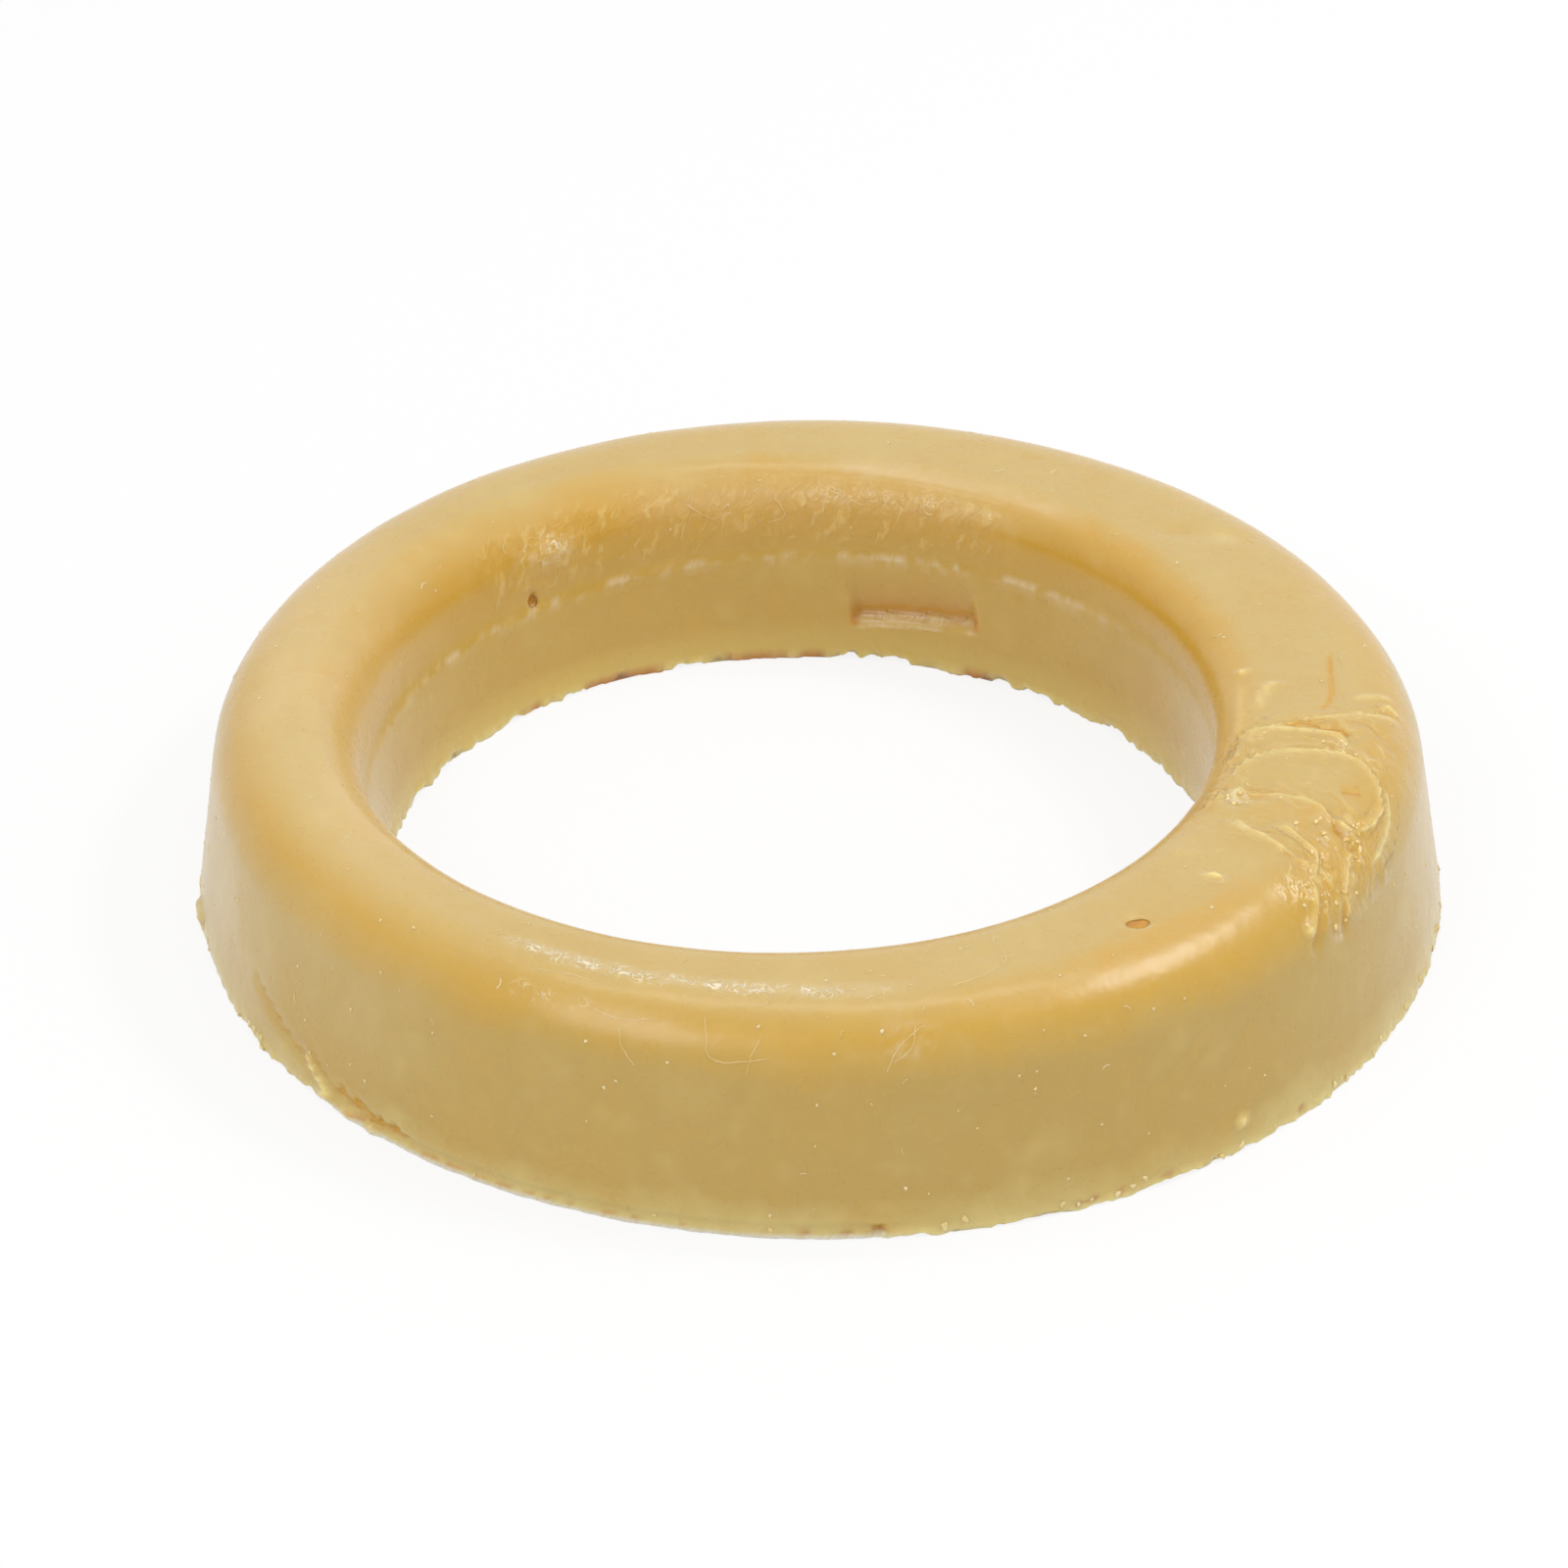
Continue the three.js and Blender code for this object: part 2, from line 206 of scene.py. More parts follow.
class Graph:
    """Adds nodes to one node tree."""

    def __init__(self, tree: bpy.types.NodeTree) -> None:
        """Works on a tree, which it leaves otherwise as it is."""
        self.tree = tree

    def node(self, kind: str, settings: dict | None = None, inputs: dict | None = None) -> bpy.types.Node:
        """Adds a node.

        Args:
            kind: Its type.
            settings: Properties set first; "stops" are a ramp's places and colours.
            inputs: Values, or what is linked in, by the input's name or number.

        Returns:
            The new node.
        """
        made = self.tree.nodes.new(kind)
        for name, value in (settings or {}).items():
            if name == "stops":
                self.set_stops(made.color_ramp, value)
            else:
                setattr(made, name, value)
        for key, value in (inputs or {}).items():
            self.feed(self.find(made.inputs, key), value)
        return made

    def take(self, kind: str, settings: dict | None = None, inputs: dict | None = None,
             output: str | int = 0) -> Value:
        """Adds a node and wraps one of its outputs, which is found by name or number."""
        made = self.node(kind, settings, inputs)
        return Value(self, self.find(made.outputs, output))

    def wrap(self, value: "Value | float") -> Value:
        """A number as a value of this graph."""
        if isinstance(value, Value):
            return value
        made = self.node("ShaderNodeValue")
        made.outputs[0].default_value = value
        return Value(self, made.outputs[0])

    def feed(self, socket: bpy.types.NodeSocket, value: object) -> None:
        """Links a value into a socket, or sets the socket's own value."""
        if isinstance(value, Value):
            self.tree.links.new(value.socket, socket)
        elif isinstance(value, bpy.types.NodeSocket):
            self.tree.links.new(value, socket)
        else:
            socket.default_value = value

    @staticmethod
    def find(sockets: bpy.types.NodeInputs, key: str | int) -> bpy.types.NodeSocket:
        """The socket of that number, or the first one in use that has that name."""
        if isinstance(key, int):
            return sockets[key]
        return next(s for s in sockets if s.name == key and s.enabled)

    @staticmethod
    def set_stops(ramp: bpy.types.ColorRamp, stops: list[tuple[float, tuple]]) -> None:
        """Gives a colour ramp its stops, from the lowest place up."""
        while len(ramp.elements) < len(stops):
            ramp.elements.new(1.0)
        for element, (place, colour) in zip(ramp.elements, stops):
            element.position = place
            element.color = colour

    def mix(self, factor: Value | float, under: object, over: object) -> Value:
        """Blends two colours: under at a factor of 0, over at 1."""
        settings = {"data_type": "RGBA", "clamp_factor": True}
        return self.take("ShaderNodeMix", settings, {0: factor, 6: under, 7: over}, 2)

    def noise(self, at: Value, grain: float, detail: float = 2.0, wander: float = 0.0) -> Value:
        """Noise from 0 to 1.

        Args:
            at: Where it is read, in millimetres.
            grain: Size of its patches, in millimetres.
            detail: Number of finer layers.
            wander: How far the patches are dragged out of shape.

        Returns:
            The noise.
        """
        inputs = {"Vector": at, "Scale": 1.0 / grain, "Detail": detail, "Distortion": wander}
        return self.take("ShaderNodeTexNoise", None, inputs)

    def object_place(self) -> Value:
        """The object's own coordinates, in millimetres."""
        where = self.take("ShaderNodeTexCoord", None, None, "Object")
        return self.take("ShaderNodeVectorMath", {"operation": "SCALE"}, {0: where, "Scale": 1.0 / MM})


def new_material(name: str) -> tuple[bpy.types.Material, Graph]:
    """Makes a material whose node tree is still empty."""
    material = bpy.data.materials.new(name)
    material.use_nodes = True
    material.node_tree.nodes.clear()
    return material, Graph(material.node_tree)


@dataclass
class GeometryRecipe:
    """A Geometry Nodes tree with named inputs, run once on an object and turned into a plain mesh."""

    name: str
    graph: Graph = field(init=False)
    entry: bpy.types.Node = field(init=False)
    keys: dict[str, str] = field(init=False, default_factory=dict)
    values: dict[str, object] = field(init=False, default_factory=dict)

    def __post_init__(self) -> None:
        """Makes the empty tree with its geometry input and output."""
        tree = bpy.data.node_groups.new(self.name, "GeometryNodeTree")
        tree.interface.new_socket(name="Geometry", in_out="INPUT", socket_type="NodeSocketGeometry")
        tree.interface.new_socket(name="Geometry", in_out="OUTPUT", socket_type="NodeSocketGeometry")
        self.graph = Graph(tree)
        self.entry = self.graph.node("NodeGroupInput")

    @property
    def geometry(self) -> Value:
        """The geometry that comes in."""
        return Value(self.graph, self.entry.outputs["Geometry"])

    def given(self, name: str, value: object, kind: str = "Float") -> Value:
        """Adds a named input.

        Args:
            name: The input's name.
            value: What it is set to when the tree runs.
            kind: The end of the socket's type, such as Float, Int, Object or Material.

        Returns:
            The input, for use in the tree.
        """
        made = self.graph.tree.interface.new_socket(
            name=name, in_out="INPUT", socket_type=f"NodeSocket{kind}")
        self.keys[name] = made.identifier
        self.values[name] = value
        return Value(self.graph, next(s for s in self.entry.outputs if s.identifier == made.identifier))

    def attribute(self, name: str) -> Value:
        """A named number of each point."""
        return self.graph.take("GeometryNodeInputNamedAttribute", {"data_type": "FLOAT"}, {"Name": name})

    def finish(self, shape: Value, finish: Value) -> None:
        """Ends the tree: instances become real and take their material."""
        real = self.graph.take("GeometryNodeRealizeInstances", None, {"Geometry": shape})
        dressed = self.graph.take("GeometryNodeSetMaterial", None, {"Geometry": real, "Material": finish})
        self.graph.node("NodeGroupOutput", None, {"Geometry": dressed})

    def run(self, carrier: bpy.types.Object, name: str) -> bpy.types.Object:
        """Runs the tree on a carrier.

        Args:
            carrier: The object whose geometry goes in. It is removed afterwards.
            name: The name of the piece that comes out.

        Returns:
            A plain mesh object at the origin.
        """
        modifier = carrier.modifiers.new(self.name, "NODES")
        modifier.node_group = self.graph.tree
        for key, identifier in self.keys.items():
            modifier[identifier] = self.values[key]
        graph = bpy.context.evaluated_depsgraph_get()
        mesh = bpy.data.meshes.new_from_object(
            carrier.evaluated_get(graph), preserve_all_data_layers=True, depsgraph=graph)
        carrier.modifiers.remove(modifier)
        bpy.data.objects.remove(carrier)
        mesh.name = name
        return put_in_scene(name, mesh)


# The cast ring


class Stretch(Enum):
    """The stretches of the section, in the order in which it is travelled."""

    FOOT_EDGE = "outer base edge"
    WALL_FOOT = "foot of the outer wall"
    WALL = "outer wall"
    SHOULDER = "outer shoulder"
    CROWN = "crown"
    RIM = "inner shoulder"
    THROAT = "wall above the ledge"
    LEDGE = "ledge"
    CORE = "wall below the ledge"
    POCKET_BAND = "band of the wall that holds the pocket"
    CORE_FOOT = "foot of the wall"
    HOLE_EDGE = "inner base edge"
    BASE = "underside"


@dataclass(frozen=True)
class RingSection:
    """Section of the ring, with the same sizes as the solid it stands for."""

    base_radius: float = 70.0
    height: float = 24.4
    outer_draft: float = 8.0
    outer_shoulder: float = 8.7
    hole_radius: float = 47.2
    core_draft: float = 0.7
    ledge_height: float = 14.7
    ledge_width: float = 0.4
    ledge_tilt: float = 2.5
    ledge_softness: float = 1.1
    throat_draft: float = 1.5
    inner_shoulder: float = 6.0
    base_edge: float = 0.3
    wall_foot: float = 2.6
    band_top: float = 8.8
    band_bottom: float = 4.2
    hole_offset: float = -1.8
    rim_offset: float = -4.5
    crown_offset: float = -0.5
    offset_blend: float = 6.0

    ARC_POINTS = 33
    LEDGE_POINTS = 9

    def corner(self, foot_radius: float, foot_height: float, draft: float, radius: float,
               side: int) -> tuple[float, float]:
        """Centre of a shoulder that leaves a leaning wall and ends level with the crown.

        Args:
            foot_radius: Radius at the foot of the wall.
            foot_height: Height of that foot.
            draft: Lean of the wall.
            radius: Radius of the shoulder.
            side: 1 for the outer side, -1 for the hole.

        Returns:
            Radius and height of the centre.
        """
        lean = math.radians(draft)
        tangent_height = self.height - radius + radius * math.sin(lean)
        tangent_radius = foot_radius - side * (tangent_height - foot_height) * math.tan(lean)
        return tangent_radius - side * radius * math.cos(lean), self.height - radius

    def outline(self) -> dict[Stretch, list[tuple[float, float]]]:
        """Finely drawn points of each stretch, from the outer base edge over the crown and round."""

        def arc(centre: tuple[float, float], radius: float, start: float, end: float) -> list:
            turns = np.radians(np.linspace(start, end, self.ARC_POINTS))
            return [(centre[0] + radius * math.cos(t), centre[1] + radius * math.sin(t)) for t in turns]

        edge = self.base_edge
        foot_edge = arc((self.base_radius - edge, edge), edge, -90.0, 0.0)
        shoulder = arc(self.outer_corner, self.outer_shoulder, self.outer_draft, 90.0)
        rim = arc(self.inner_corner, self.inner_shoulder, 90.0, HALF_TURN - self.throat_draft)
        hole_edge = arc((self.hole_radius + edge, edge), edge, HALF_TURN, HALF_TURN + 90.0)
        ledge = []
        for drop in np.linspace(0.0, 1.0, self.LEDGE_POINTS):
            ledge.append((self.ledge_outer - self.ledge_width * float(smoothstep(drop, 0.0, 1.0)),
                          self.ledge_height + self.ledge_softness * (1.0 - 2.0 * drop)))

        def between(low: tuple[float, float], high: tuple[float, float], level: float) -> tuple[float, float]:
            share = (level - low[1]) / (high[1] - low[1])
            return low[0] + share * (high[0] - low[0]), level

        wall_foot = between(foot_edge[-1], shoulder[0], self.wall_foot)
        band_top = between(hole_edge[0], ledge[-1], self.band_top)
        band_bottom = between(hole_edge[0], ledge[-1], self.band_bottom)
        return {
            Stretch.FOOT_EDGE: foot_edge,
            Stretch.WALL_FOOT: [foot_edge[-1], wall_foot],
            Stretch.WALL: [wall_foot, shoulder[0]],
            Stretch.SHOULDER: shoulder,
            Stretch.CROWN: [shoulder[-1], rim[0]],
            Stretch.RIM: rim,
            Stretch.THROAT: [rim[-1], ledge[0]],
            Stretch.LEDGE: ledge,
            Stretch.CORE: [ledge[-1], band_top],
            Stretch.POCKET_BAND: [band_top, band_bottom],
            Stretch.CORE_FOOT: [band_bottom, hole_edge[0]],
            Stretch.HOLE_EDGE: hole_edge,
            Stretch.BASE: [hole_edge[-1], foot_edge[0]],
        }

    def stops(self, steps: dict[Stretch, int]) -> dict[str, np.ndarray]:
        """Stops along the section.

        Args:
            steps: How many stops each stretch has.

        Returns:
            Arrays of r, z, the outward direction out_r and out_z, and the distance across.
        """
        rows: list[tuple[float, ...]] = []
        travelled = 0.0
        crown_middle = 0.0
        for stretch, points in self.outline().items():
            drawn = np.array(points)
            lengths = np.concatenate([[0.0], np.cumsum(np.hypot(*np.diff(drawn, axis=0).T))])
            total = float(lengths[-1])
            if stretch is Stretch.CROWN:
                crown_middle = travelled + total / 2.0
            for step in range(steps[stretch]):
                gone = total * step / steps[stretch]
                r, z = (float(np.interp(gone, lengths, drawn[:, axis])) for axis in (0, 1))
                leg = min(int(np.searchsorted(lengths, gone, side="right")), len(drawn) - 1)
                along = (drawn[leg] - drawn[leg - 1]) / (lengths[leg] - lengths[leg - 1])
                rows.append((r, z, float(along[1]), float(-along[0]), travelled + gone))
            travelled += total
        table = np.array(rows)
        return {
            "sec_r": table[:, 0], "sec_z": table[:, 1], "out_r": table[:, 2], "out_z": table[:, 3],
            "across": crown_middle - table[:, 4],
        }

    @property
    def ledge_outer(self) -> float:
        """Radius of the hole just above its ledge."""
        ledge_inner = self.hole_radius + self.ledge_height * math.tan(math.radians(self.core_draft))
        return ledge_inner + self.ledge_width

    @property
    def outer_corner(self) -> tuple[float, float]:
        """Centre of the outer shoulder."""
        return self.corner(self.base_radius, 0.0, self.outer_draft, self.outer_shoulder, 1)

    @property
    def inner_corner(self) -> tuple[float, float]:
        """Centre of the inner shoulder."""
        return self.corner(self.ledge_outer, self.ledge_height, self.throat_draft, self.inner_shoulder, -1)

    @property
    def crown_radius(self) -> float:
        """Radius of the middle of the crown."""
        return (self.outer_corner[0] + self.inner_corner[0]) / 2.0

    @property
    def crown_width(self) -> float:
        """Width of the level crown."""
        return 2.0 * (self.outer_corner[0] - self.crown_radius)


@dataclass(frozen=True)
class Crowding:
    """A span of the ring where the sections of the mesh stand closer together."""

    start: float
    end: float
    closeness: float
    blend: float = 12.0


@dataclass(frozen=True)
class RingSweep:
    """Sweeps the section round the ring, with its offsets and the slow swell of the cast wax."""

    section: RingSection
    stations: int = 940
    swell: float = 0.26
    swell_size: float = 14.0
    swell_start: float = 2.0
    crowding: tuple[Crowding, ...] = (
        Crowding(-41.0, 5.0, 3.2, 10.0), Crowding(-54.6, -51.0, 3.2, 2.0), Crowding(127.4, 130.6, 2.6, 2.0),
        Crowding(62.0, 84.0, 1.5, 4.0), Crowding(-154.0, -127.0, 1.8, 6.0))

    STEPS = {
        Stretch.FOOT_EDGE: 3, Stretch.WALL_FOOT: 5, Stretch.WALL: 20, Stretch.SHOULDER: 22, Stretch.CROWN: 11,
        Stretch.RIM: 13, Stretch.THROAT: 3, Stretch.LEDGE: 5, Stretch.CORE: 4, Stretch.POCKET_BAND: 11,
        Stretch.CORE_FOOT: 3, Stretch.HOLE_EDGE: 3, Stretch.BASE: 2,
    }
    TRIALS = 14400

    def angles(self) -> np.ndarray:
        """The angle of each station, closer together where the ring is worked."""
        trial = (np.arange(self.TRIALS) + 0.5) * FULL_TURN / self.TRIALS - HALF_TURN
        closeness = np.ones(self.TRIALS)
        for span in self.crowding:
            closeness += (span.closeness - 1.0) * window(trial, span.start, span.end, span.blend)
        reach = np.concatenate([[0.0], np.cumsum(closeness)])
        goals = reach[-1] * np.arange(self.stations) / self.stations
        bounds = np.linspace(-HALF_TURN, HALF_TURN, self.TRIALS + 1)
        return np.interp(goals, reach, bounds)

    @staticmethod
    def wire(name: str, columns: dict[str, np.ndarray], x: np.ndarray, y: np.ndarray) -> bpy.types.Object:
        """A closed wire with numbers on its points.

        Args:
            name: The object's name.
            columns: The numbers, by name.
            x: First coordinate of each point.
            y: Second coordinate of each point.

        Returns:
            The wire.
        """
        count = len(x)
        mesh = bpy.data.meshes.new(name)
        corners = [(float(a), float(b), 0.0) for a, b in zip(x, y)]
        mesh.from_pydata(corners, [(i, (i + 1) % count) for i in range(count)], [])
        for key, values in columns.items():
            write_column(mesh, key, values)
        return put_in_scene(name, mesh)

    def build(self, finish: bpy.types.Material) -> bpy.types.Object:
        """Sweeps the ring.

        Args:
            finish: The material of the wax.

        Returns:
            The swept mesh, whose points keep their angle, their section and their place across.
        """
        section = self.section
        angles = self.angles()
        turns = np.radians(angles)
        path = self.wire("ring_path", {"angle": angles}, np.cos(turns), np.sin(turns))
        stops = section.stops(self.STEPS)
        profile = self.wire("ring_section", stops, stops["sec_r"], stops["sec_z"])
        recipe = GeometryRecipe("wax_ring_sweep")
        graph = recipe.graph
        height = recipe.given("Height", section.height)
        hole_offset = recipe.given("Hole offset", section.hole_offset)
        rim_offset = recipe.given("Rim offset", section.rim_offset)
        crown_offset = recipe.given("Crown offset", section.crown_offset)
        crown_edge = recipe.given("Crown edge", section.crown_width / 2.0)
        offset_blend = recipe.given("Offset blend", section.offset_blend)
        swell = recipe.given("Swell", self.swell)
        swell_size = recipe.given("Swell size", self.swell_size)
        profile_wire = recipe.given("Section", profile, "Object")
        material = recipe.given("Finish", finish, "Material")

        outline = graph.take("GeometryNodeObjectInfo", None, {"Object": profile_wire}, "Geometry")
        path_curve = graph.take("GeometryNodeMeshToCurve", None, {0: recipe.geometry})
        outline_curve = graph.take("GeometryNodeMeshToCurve", None, {0: outline})
        swept = graph.take("GeometryNodeCurveToMesh", None, {
            "Curve": path_curve, "Profile Curve": outline_curve})

        turn = recipe.attribute("angle") * (math.pi / HALF_TURN)
        level = recipe.attribute("sec_z")
        reach = recipe.attribute("sec_r")
        rise = level / height
        outer_shift = crown_offset * rise
        inner_shift = hole_offset + (rim_offset - hole_offset) * rise
        part = ((crown_edge - recipe.attribute("across")) / offset_blend).rise(0.0, 1.0)
        shift = outer_shift + (inner_shift - outer_shift) * part
        cosine = turn.math("COSINE")
        sine = turn.math("SINE")
        place = graph.take("ShaderNodeCombineXYZ", None, {
            0: reach * cosine + shift, 1: reach * sine, 2: level})
        wave = graph.take("ShaderNodeTexNoise", None, {
            "Vector": place, "Scale": 1.0 / swell_size, "Detail": 1.0})
        proud = swell * (wave - 0.5) * (level / self.swell_start).rise(0.0, 1.0)
        out_r = recipe.attribute("out_r")
        push = graph.take("ShaderNodeCombineXYZ", None, {
            0: out_r * cosine * proud, 1: out_r * sine * proud, 2: recipe.attribute("out_z") * proud})
        placed = graph.take("GeometryNodeSetPosition", None, {
            "Geometry": swept, "Position": place, "Offset": push})
        recipe.finish(placed, material)
        ring = recipe.run(path, NODE + "_skin")
        bpy.data.objects.remove(profile)
        return ring


# Marks of handling, painted shade and painted highlights


@dataclass
class Skin:
    """The skin of the ring while it is worked, one entry for each vertex."""

    section: RingSection
    place: np.ndarray
    outward: np.ndarray
    angle: np.ndarray
    across: np.ndarray
    level: np.ndarray
    rise: np.ndarray = field(init=False)
    amber_and_shade: np.ndarray = field(init=False)
    pale_and_highlight: np.ndarray = field(init=False)
    film_and_sheen: np.ndarray = field(init=False)
    worked: np.ndarray = field(init=False)
    seam: np.ndarray = field(init=False)
    crease_shade_strength: np.ndarray = field(init=False)
    lip: np.ndarray = field(init=False)
    lip_fade: np.ndarray = field(init=False)
    wan: np.ndarray = field(init=False)
    painted_shade: np.ndarray = field(init=False)
    frost_and_glint: np.ndarray = field(init=False)
    scribble_and_glint: np.ndarray = field(init=False)
    dull: np.ndarray = field(init=False)

    FAR = 9.0
    FAINTEST = 0.01
    SHARES = ("amber_and_shade", "pale_and_highlight", "film_and_sheen", "worked", "crease_shade_strength", "lip_fade", "wan", "painted_shade", "frost_and_glint",
              "scribble_and_glint", "dull")
    LINES = {"seam": ("crease_shade_strength", 0.7, 1.3), "lip": ("lip_fade", 1.0, 1.8)}

    def __post_init__(self) -> None:
        """Starts with no relief, no stain and nothing near."""
        count = len(self.angle)
        for name in ("rise", *self.SHARES):
            setattr(self, name, np.zeros(count))
        for name in self.LINES:
            setattr(self, name, np.full(count, self.FAR))

    def tint(self, name: str, amount: np.ndarray, near: np.ndarray | slice = slice(None)) -> None:
        """Raises a stain, painted shade or painted highlight to an amount where it is weaker.

        Args:
            name: Which one.
            amount: How strong it is to be at least.
            near: The vertices that it reaches, or else all of them.
        """
        column = getattr(self, name)
        column[near] = np.maximum(column[near], amount)

    def note_line(self, name: str, near: np.ndarray, distance: np.ndarray, strength: np.ndarray) -> None:
        """Notes a line where it is the nearest of its kind, for the finish to draw finely.

        Args:
            name: Its kind: the line of painted shade down a groove, or lip for the free edge of a smear.
            near: The vertices beside the line.
            distance: Their distance from it, with a sign for the side.
            strength: How strong it is.
        """
        share, clear, gone = self.LINES[name]
        strength = strength * (1.0 - smoothstep(np.abs(distance), clear, gone))
        nearest = getattr(self, name)
        closer = (np.abs(distance) < np.abs(nearest[near])) & (strength > self.FAINTEST)
        nearest[near[closer]] = distance[closer]
        getattr(self, share)[near[closer]] = strength[closer]

    @classmethod
    def read(cls, section: RingSection, mesh: bpy.types.Mesh) -> "Skin":
        """Reads the skin from a swept mesh."""
        angle = read_column(mesh, "angle")
        turn = np.radians(angle)
        out_r = read_column(mesh, "out_r")
        outward = np.stack([out_r * np.cos(turn), out_r * np.sin(turn), read_column(mesh, "out_z")], axis=1)
        return cls(section, read_points(mesh).astype(np.float64), outward, angle,
                   read_column(mesh, "across"), read_column(mesh, "sec_z"))

    @property
    def arc(self) -> np.ndarray:
        """Distance round the ring, measured on the middle of the crown."""
        return np.radians(self.angle) * self.section.crown_radius

    def write(self, mesh: bpy.types.Mesh) -> None:
        """Puts the worked skin back into its mesh, in metres, with its stains, painted shade and painted
        highlights as attributes.
        """
        worked = (self.place + self.outward * self.rise[:, None]) * MM
        mesh.vertices.foreach_set("co", worked.astype(np.float32).ravel())
        for name in self.SHARES:
            setattr(self, name, np.clip(getattr(self, name), 0.0, 1.0))
        for name in (*self.SHARES, *self.LINES):
            write_column(mesh, name, getattr(self, name))
        mesh.update()


@dataclass(frozen=True)
class Grain:
    """Repeatable noise in space, from -1 to 1."""

    seed: int

    GRID_STEPS = (374761393, 668265263, 2147483647)
    SEED_STEP = 974634777
    SCRAMBLE = 1274126177
    LOW_BITS = 0xFFFFFFFF
    HALF_RANGE = 0x7FFFFFFF
    LAYER_SHIFT = 17.0

    def hashed(self, cells: np.ndarray) -> np.ndarray:
        """A number from -1 to 1 for each cell of a grid."""
        mixed = sum(cells[..., axis] * step for axis, step in enumerate(self.GRID_STEPS))
        mixed = (mixed + self.seed * self.SEED_STEP).astype(np.int64) & self.LOW_BITS
        mixed = ((mixed ^ (mixed >> 13)) * self.SCRAMBLE) & self.LOW_BITS
        mixed = mixed ^ (mixed >> 16)
        return mixed / self.HALF_RANGE - 1.0

    def at(self, place: np.ndarray, size: float, layers: int = 1) -> np.ndarray:
        """Reads the noise.

        Args:
            place: Points, in millimetres.
            size: Size of the patches.
            layers: Layers, each half as large and half as strong as the last.

        Returns:
            The noise at each point.
        """
        total = np.zeros(len(place))
        strength = 1.0
        whole = 0.0
        for layer in range(layers):
            scaled = place / size * 2.0 ** layer + self.LAYER_SHIFT * layer
            base = np.floor(scaled).astype(np.int64)
            part = scaled - base
            part = part * part * (3.0 - 2.0 * part)
            value = np.zeros(len(place))
            for corner in np.ndindex(2, 2, 2):
                offset = np.array(corner)
                weight = np.prod(np.where(offset, part, 1.0 - part), axis=1)
                value += weight * self.hashed(base + offset)
            total += strength * value
            whole += strength
            strength /= 2.0
        return total / whole


@dataclass(frozen=True)
class SkinLine:
    """A smooth line on the skin through a few places."""

    points: Points
    chords: int = 8

    def drawn(self, section: RingSection) -> np.ndarray:
        """The line as short chords, as distances round the ring and across it."""
        corners = np.array([(math.radians(a) * section.crown_radius, c) for a, c in self.points])
        padded = np.concatenate([[2 * corners[0] - corners[1]], corners, [2 * corners[-1] - corners[-2]]])
        drawn = []
        for i in range(1, len(padded) - 2):
            before, start, end, after = padded[i - 1:i + 3]
            for t in np.arange(self.chords) / self.chords:
                drawn.append(0.5 * (2 * start + (end - before) * t
                                    + (2 * before - 5 * start + 4 * end - after) * t ** 2
                                    + (3 * start - before - 3 * end + after) * t ** 3))
        drawn.append(corners[-1])
        return np.array(drawn)

    def measure(self, skin: Skin, reach: float) -> tuple[np.ndarray, np.ndarray, np.ndarray]:
        """Measures the skin near the line.

        Args:
            skin: The skin.
            reach: How far from the line it is measured.

        Returns:
            The vertices in reach, their distance, which is positive on the left of the line's
            travel, and how far along the line each lies, from 0 to 1.
        """
        line = self.drawn(skin.section)
        low = line.min(axis=0) - reach
        high = line.max(axis=0) + reach
        arc = skin.arc
        beside = (arc > low[0]) & (arc < high[0])
        near = np.nonzero(beside & (skin.across > low[1]) & (skin.across < high[1]))[0]
        x = arc[near]
        y = skin.across[near]
        best = np.full(len(near), np.inf)
        side = np.ones(len(near))
        along = np.zeros(len(near))
        for i in range(len(line) - 1):
            run = line[i + 1] - line[i]
            part = np.clip(((x - line[i, 0]) * run[0] + (y - line[i, 1]) * run[1]) / (run @ run), 0.0, 1.0)
            off_x = x - line[i, 0] - part * run[0]
            off_y = y - line[i, 1] - part * run[1]
            distance = np.hypot(off_x, off_y)
            closer = distance < best
            best[closer] = distance[closer]
            side[closer] = np.where(run[0] * off_y - run[1] * off_x >= 0.0, 1.0, -1.0)[closer]
            along[closer] = ((i + part) / (len(line) - 1))[closer]
        return near, side * best, along


def end_fade(along: np.ndarray, share: float = 0.14) -> np.ndarray:
    """Rises and dies away over a share of a line at each end."""
    return smoothstep(along, 0.0, share) * smoothstep(1.0 - along, 0.0, share)


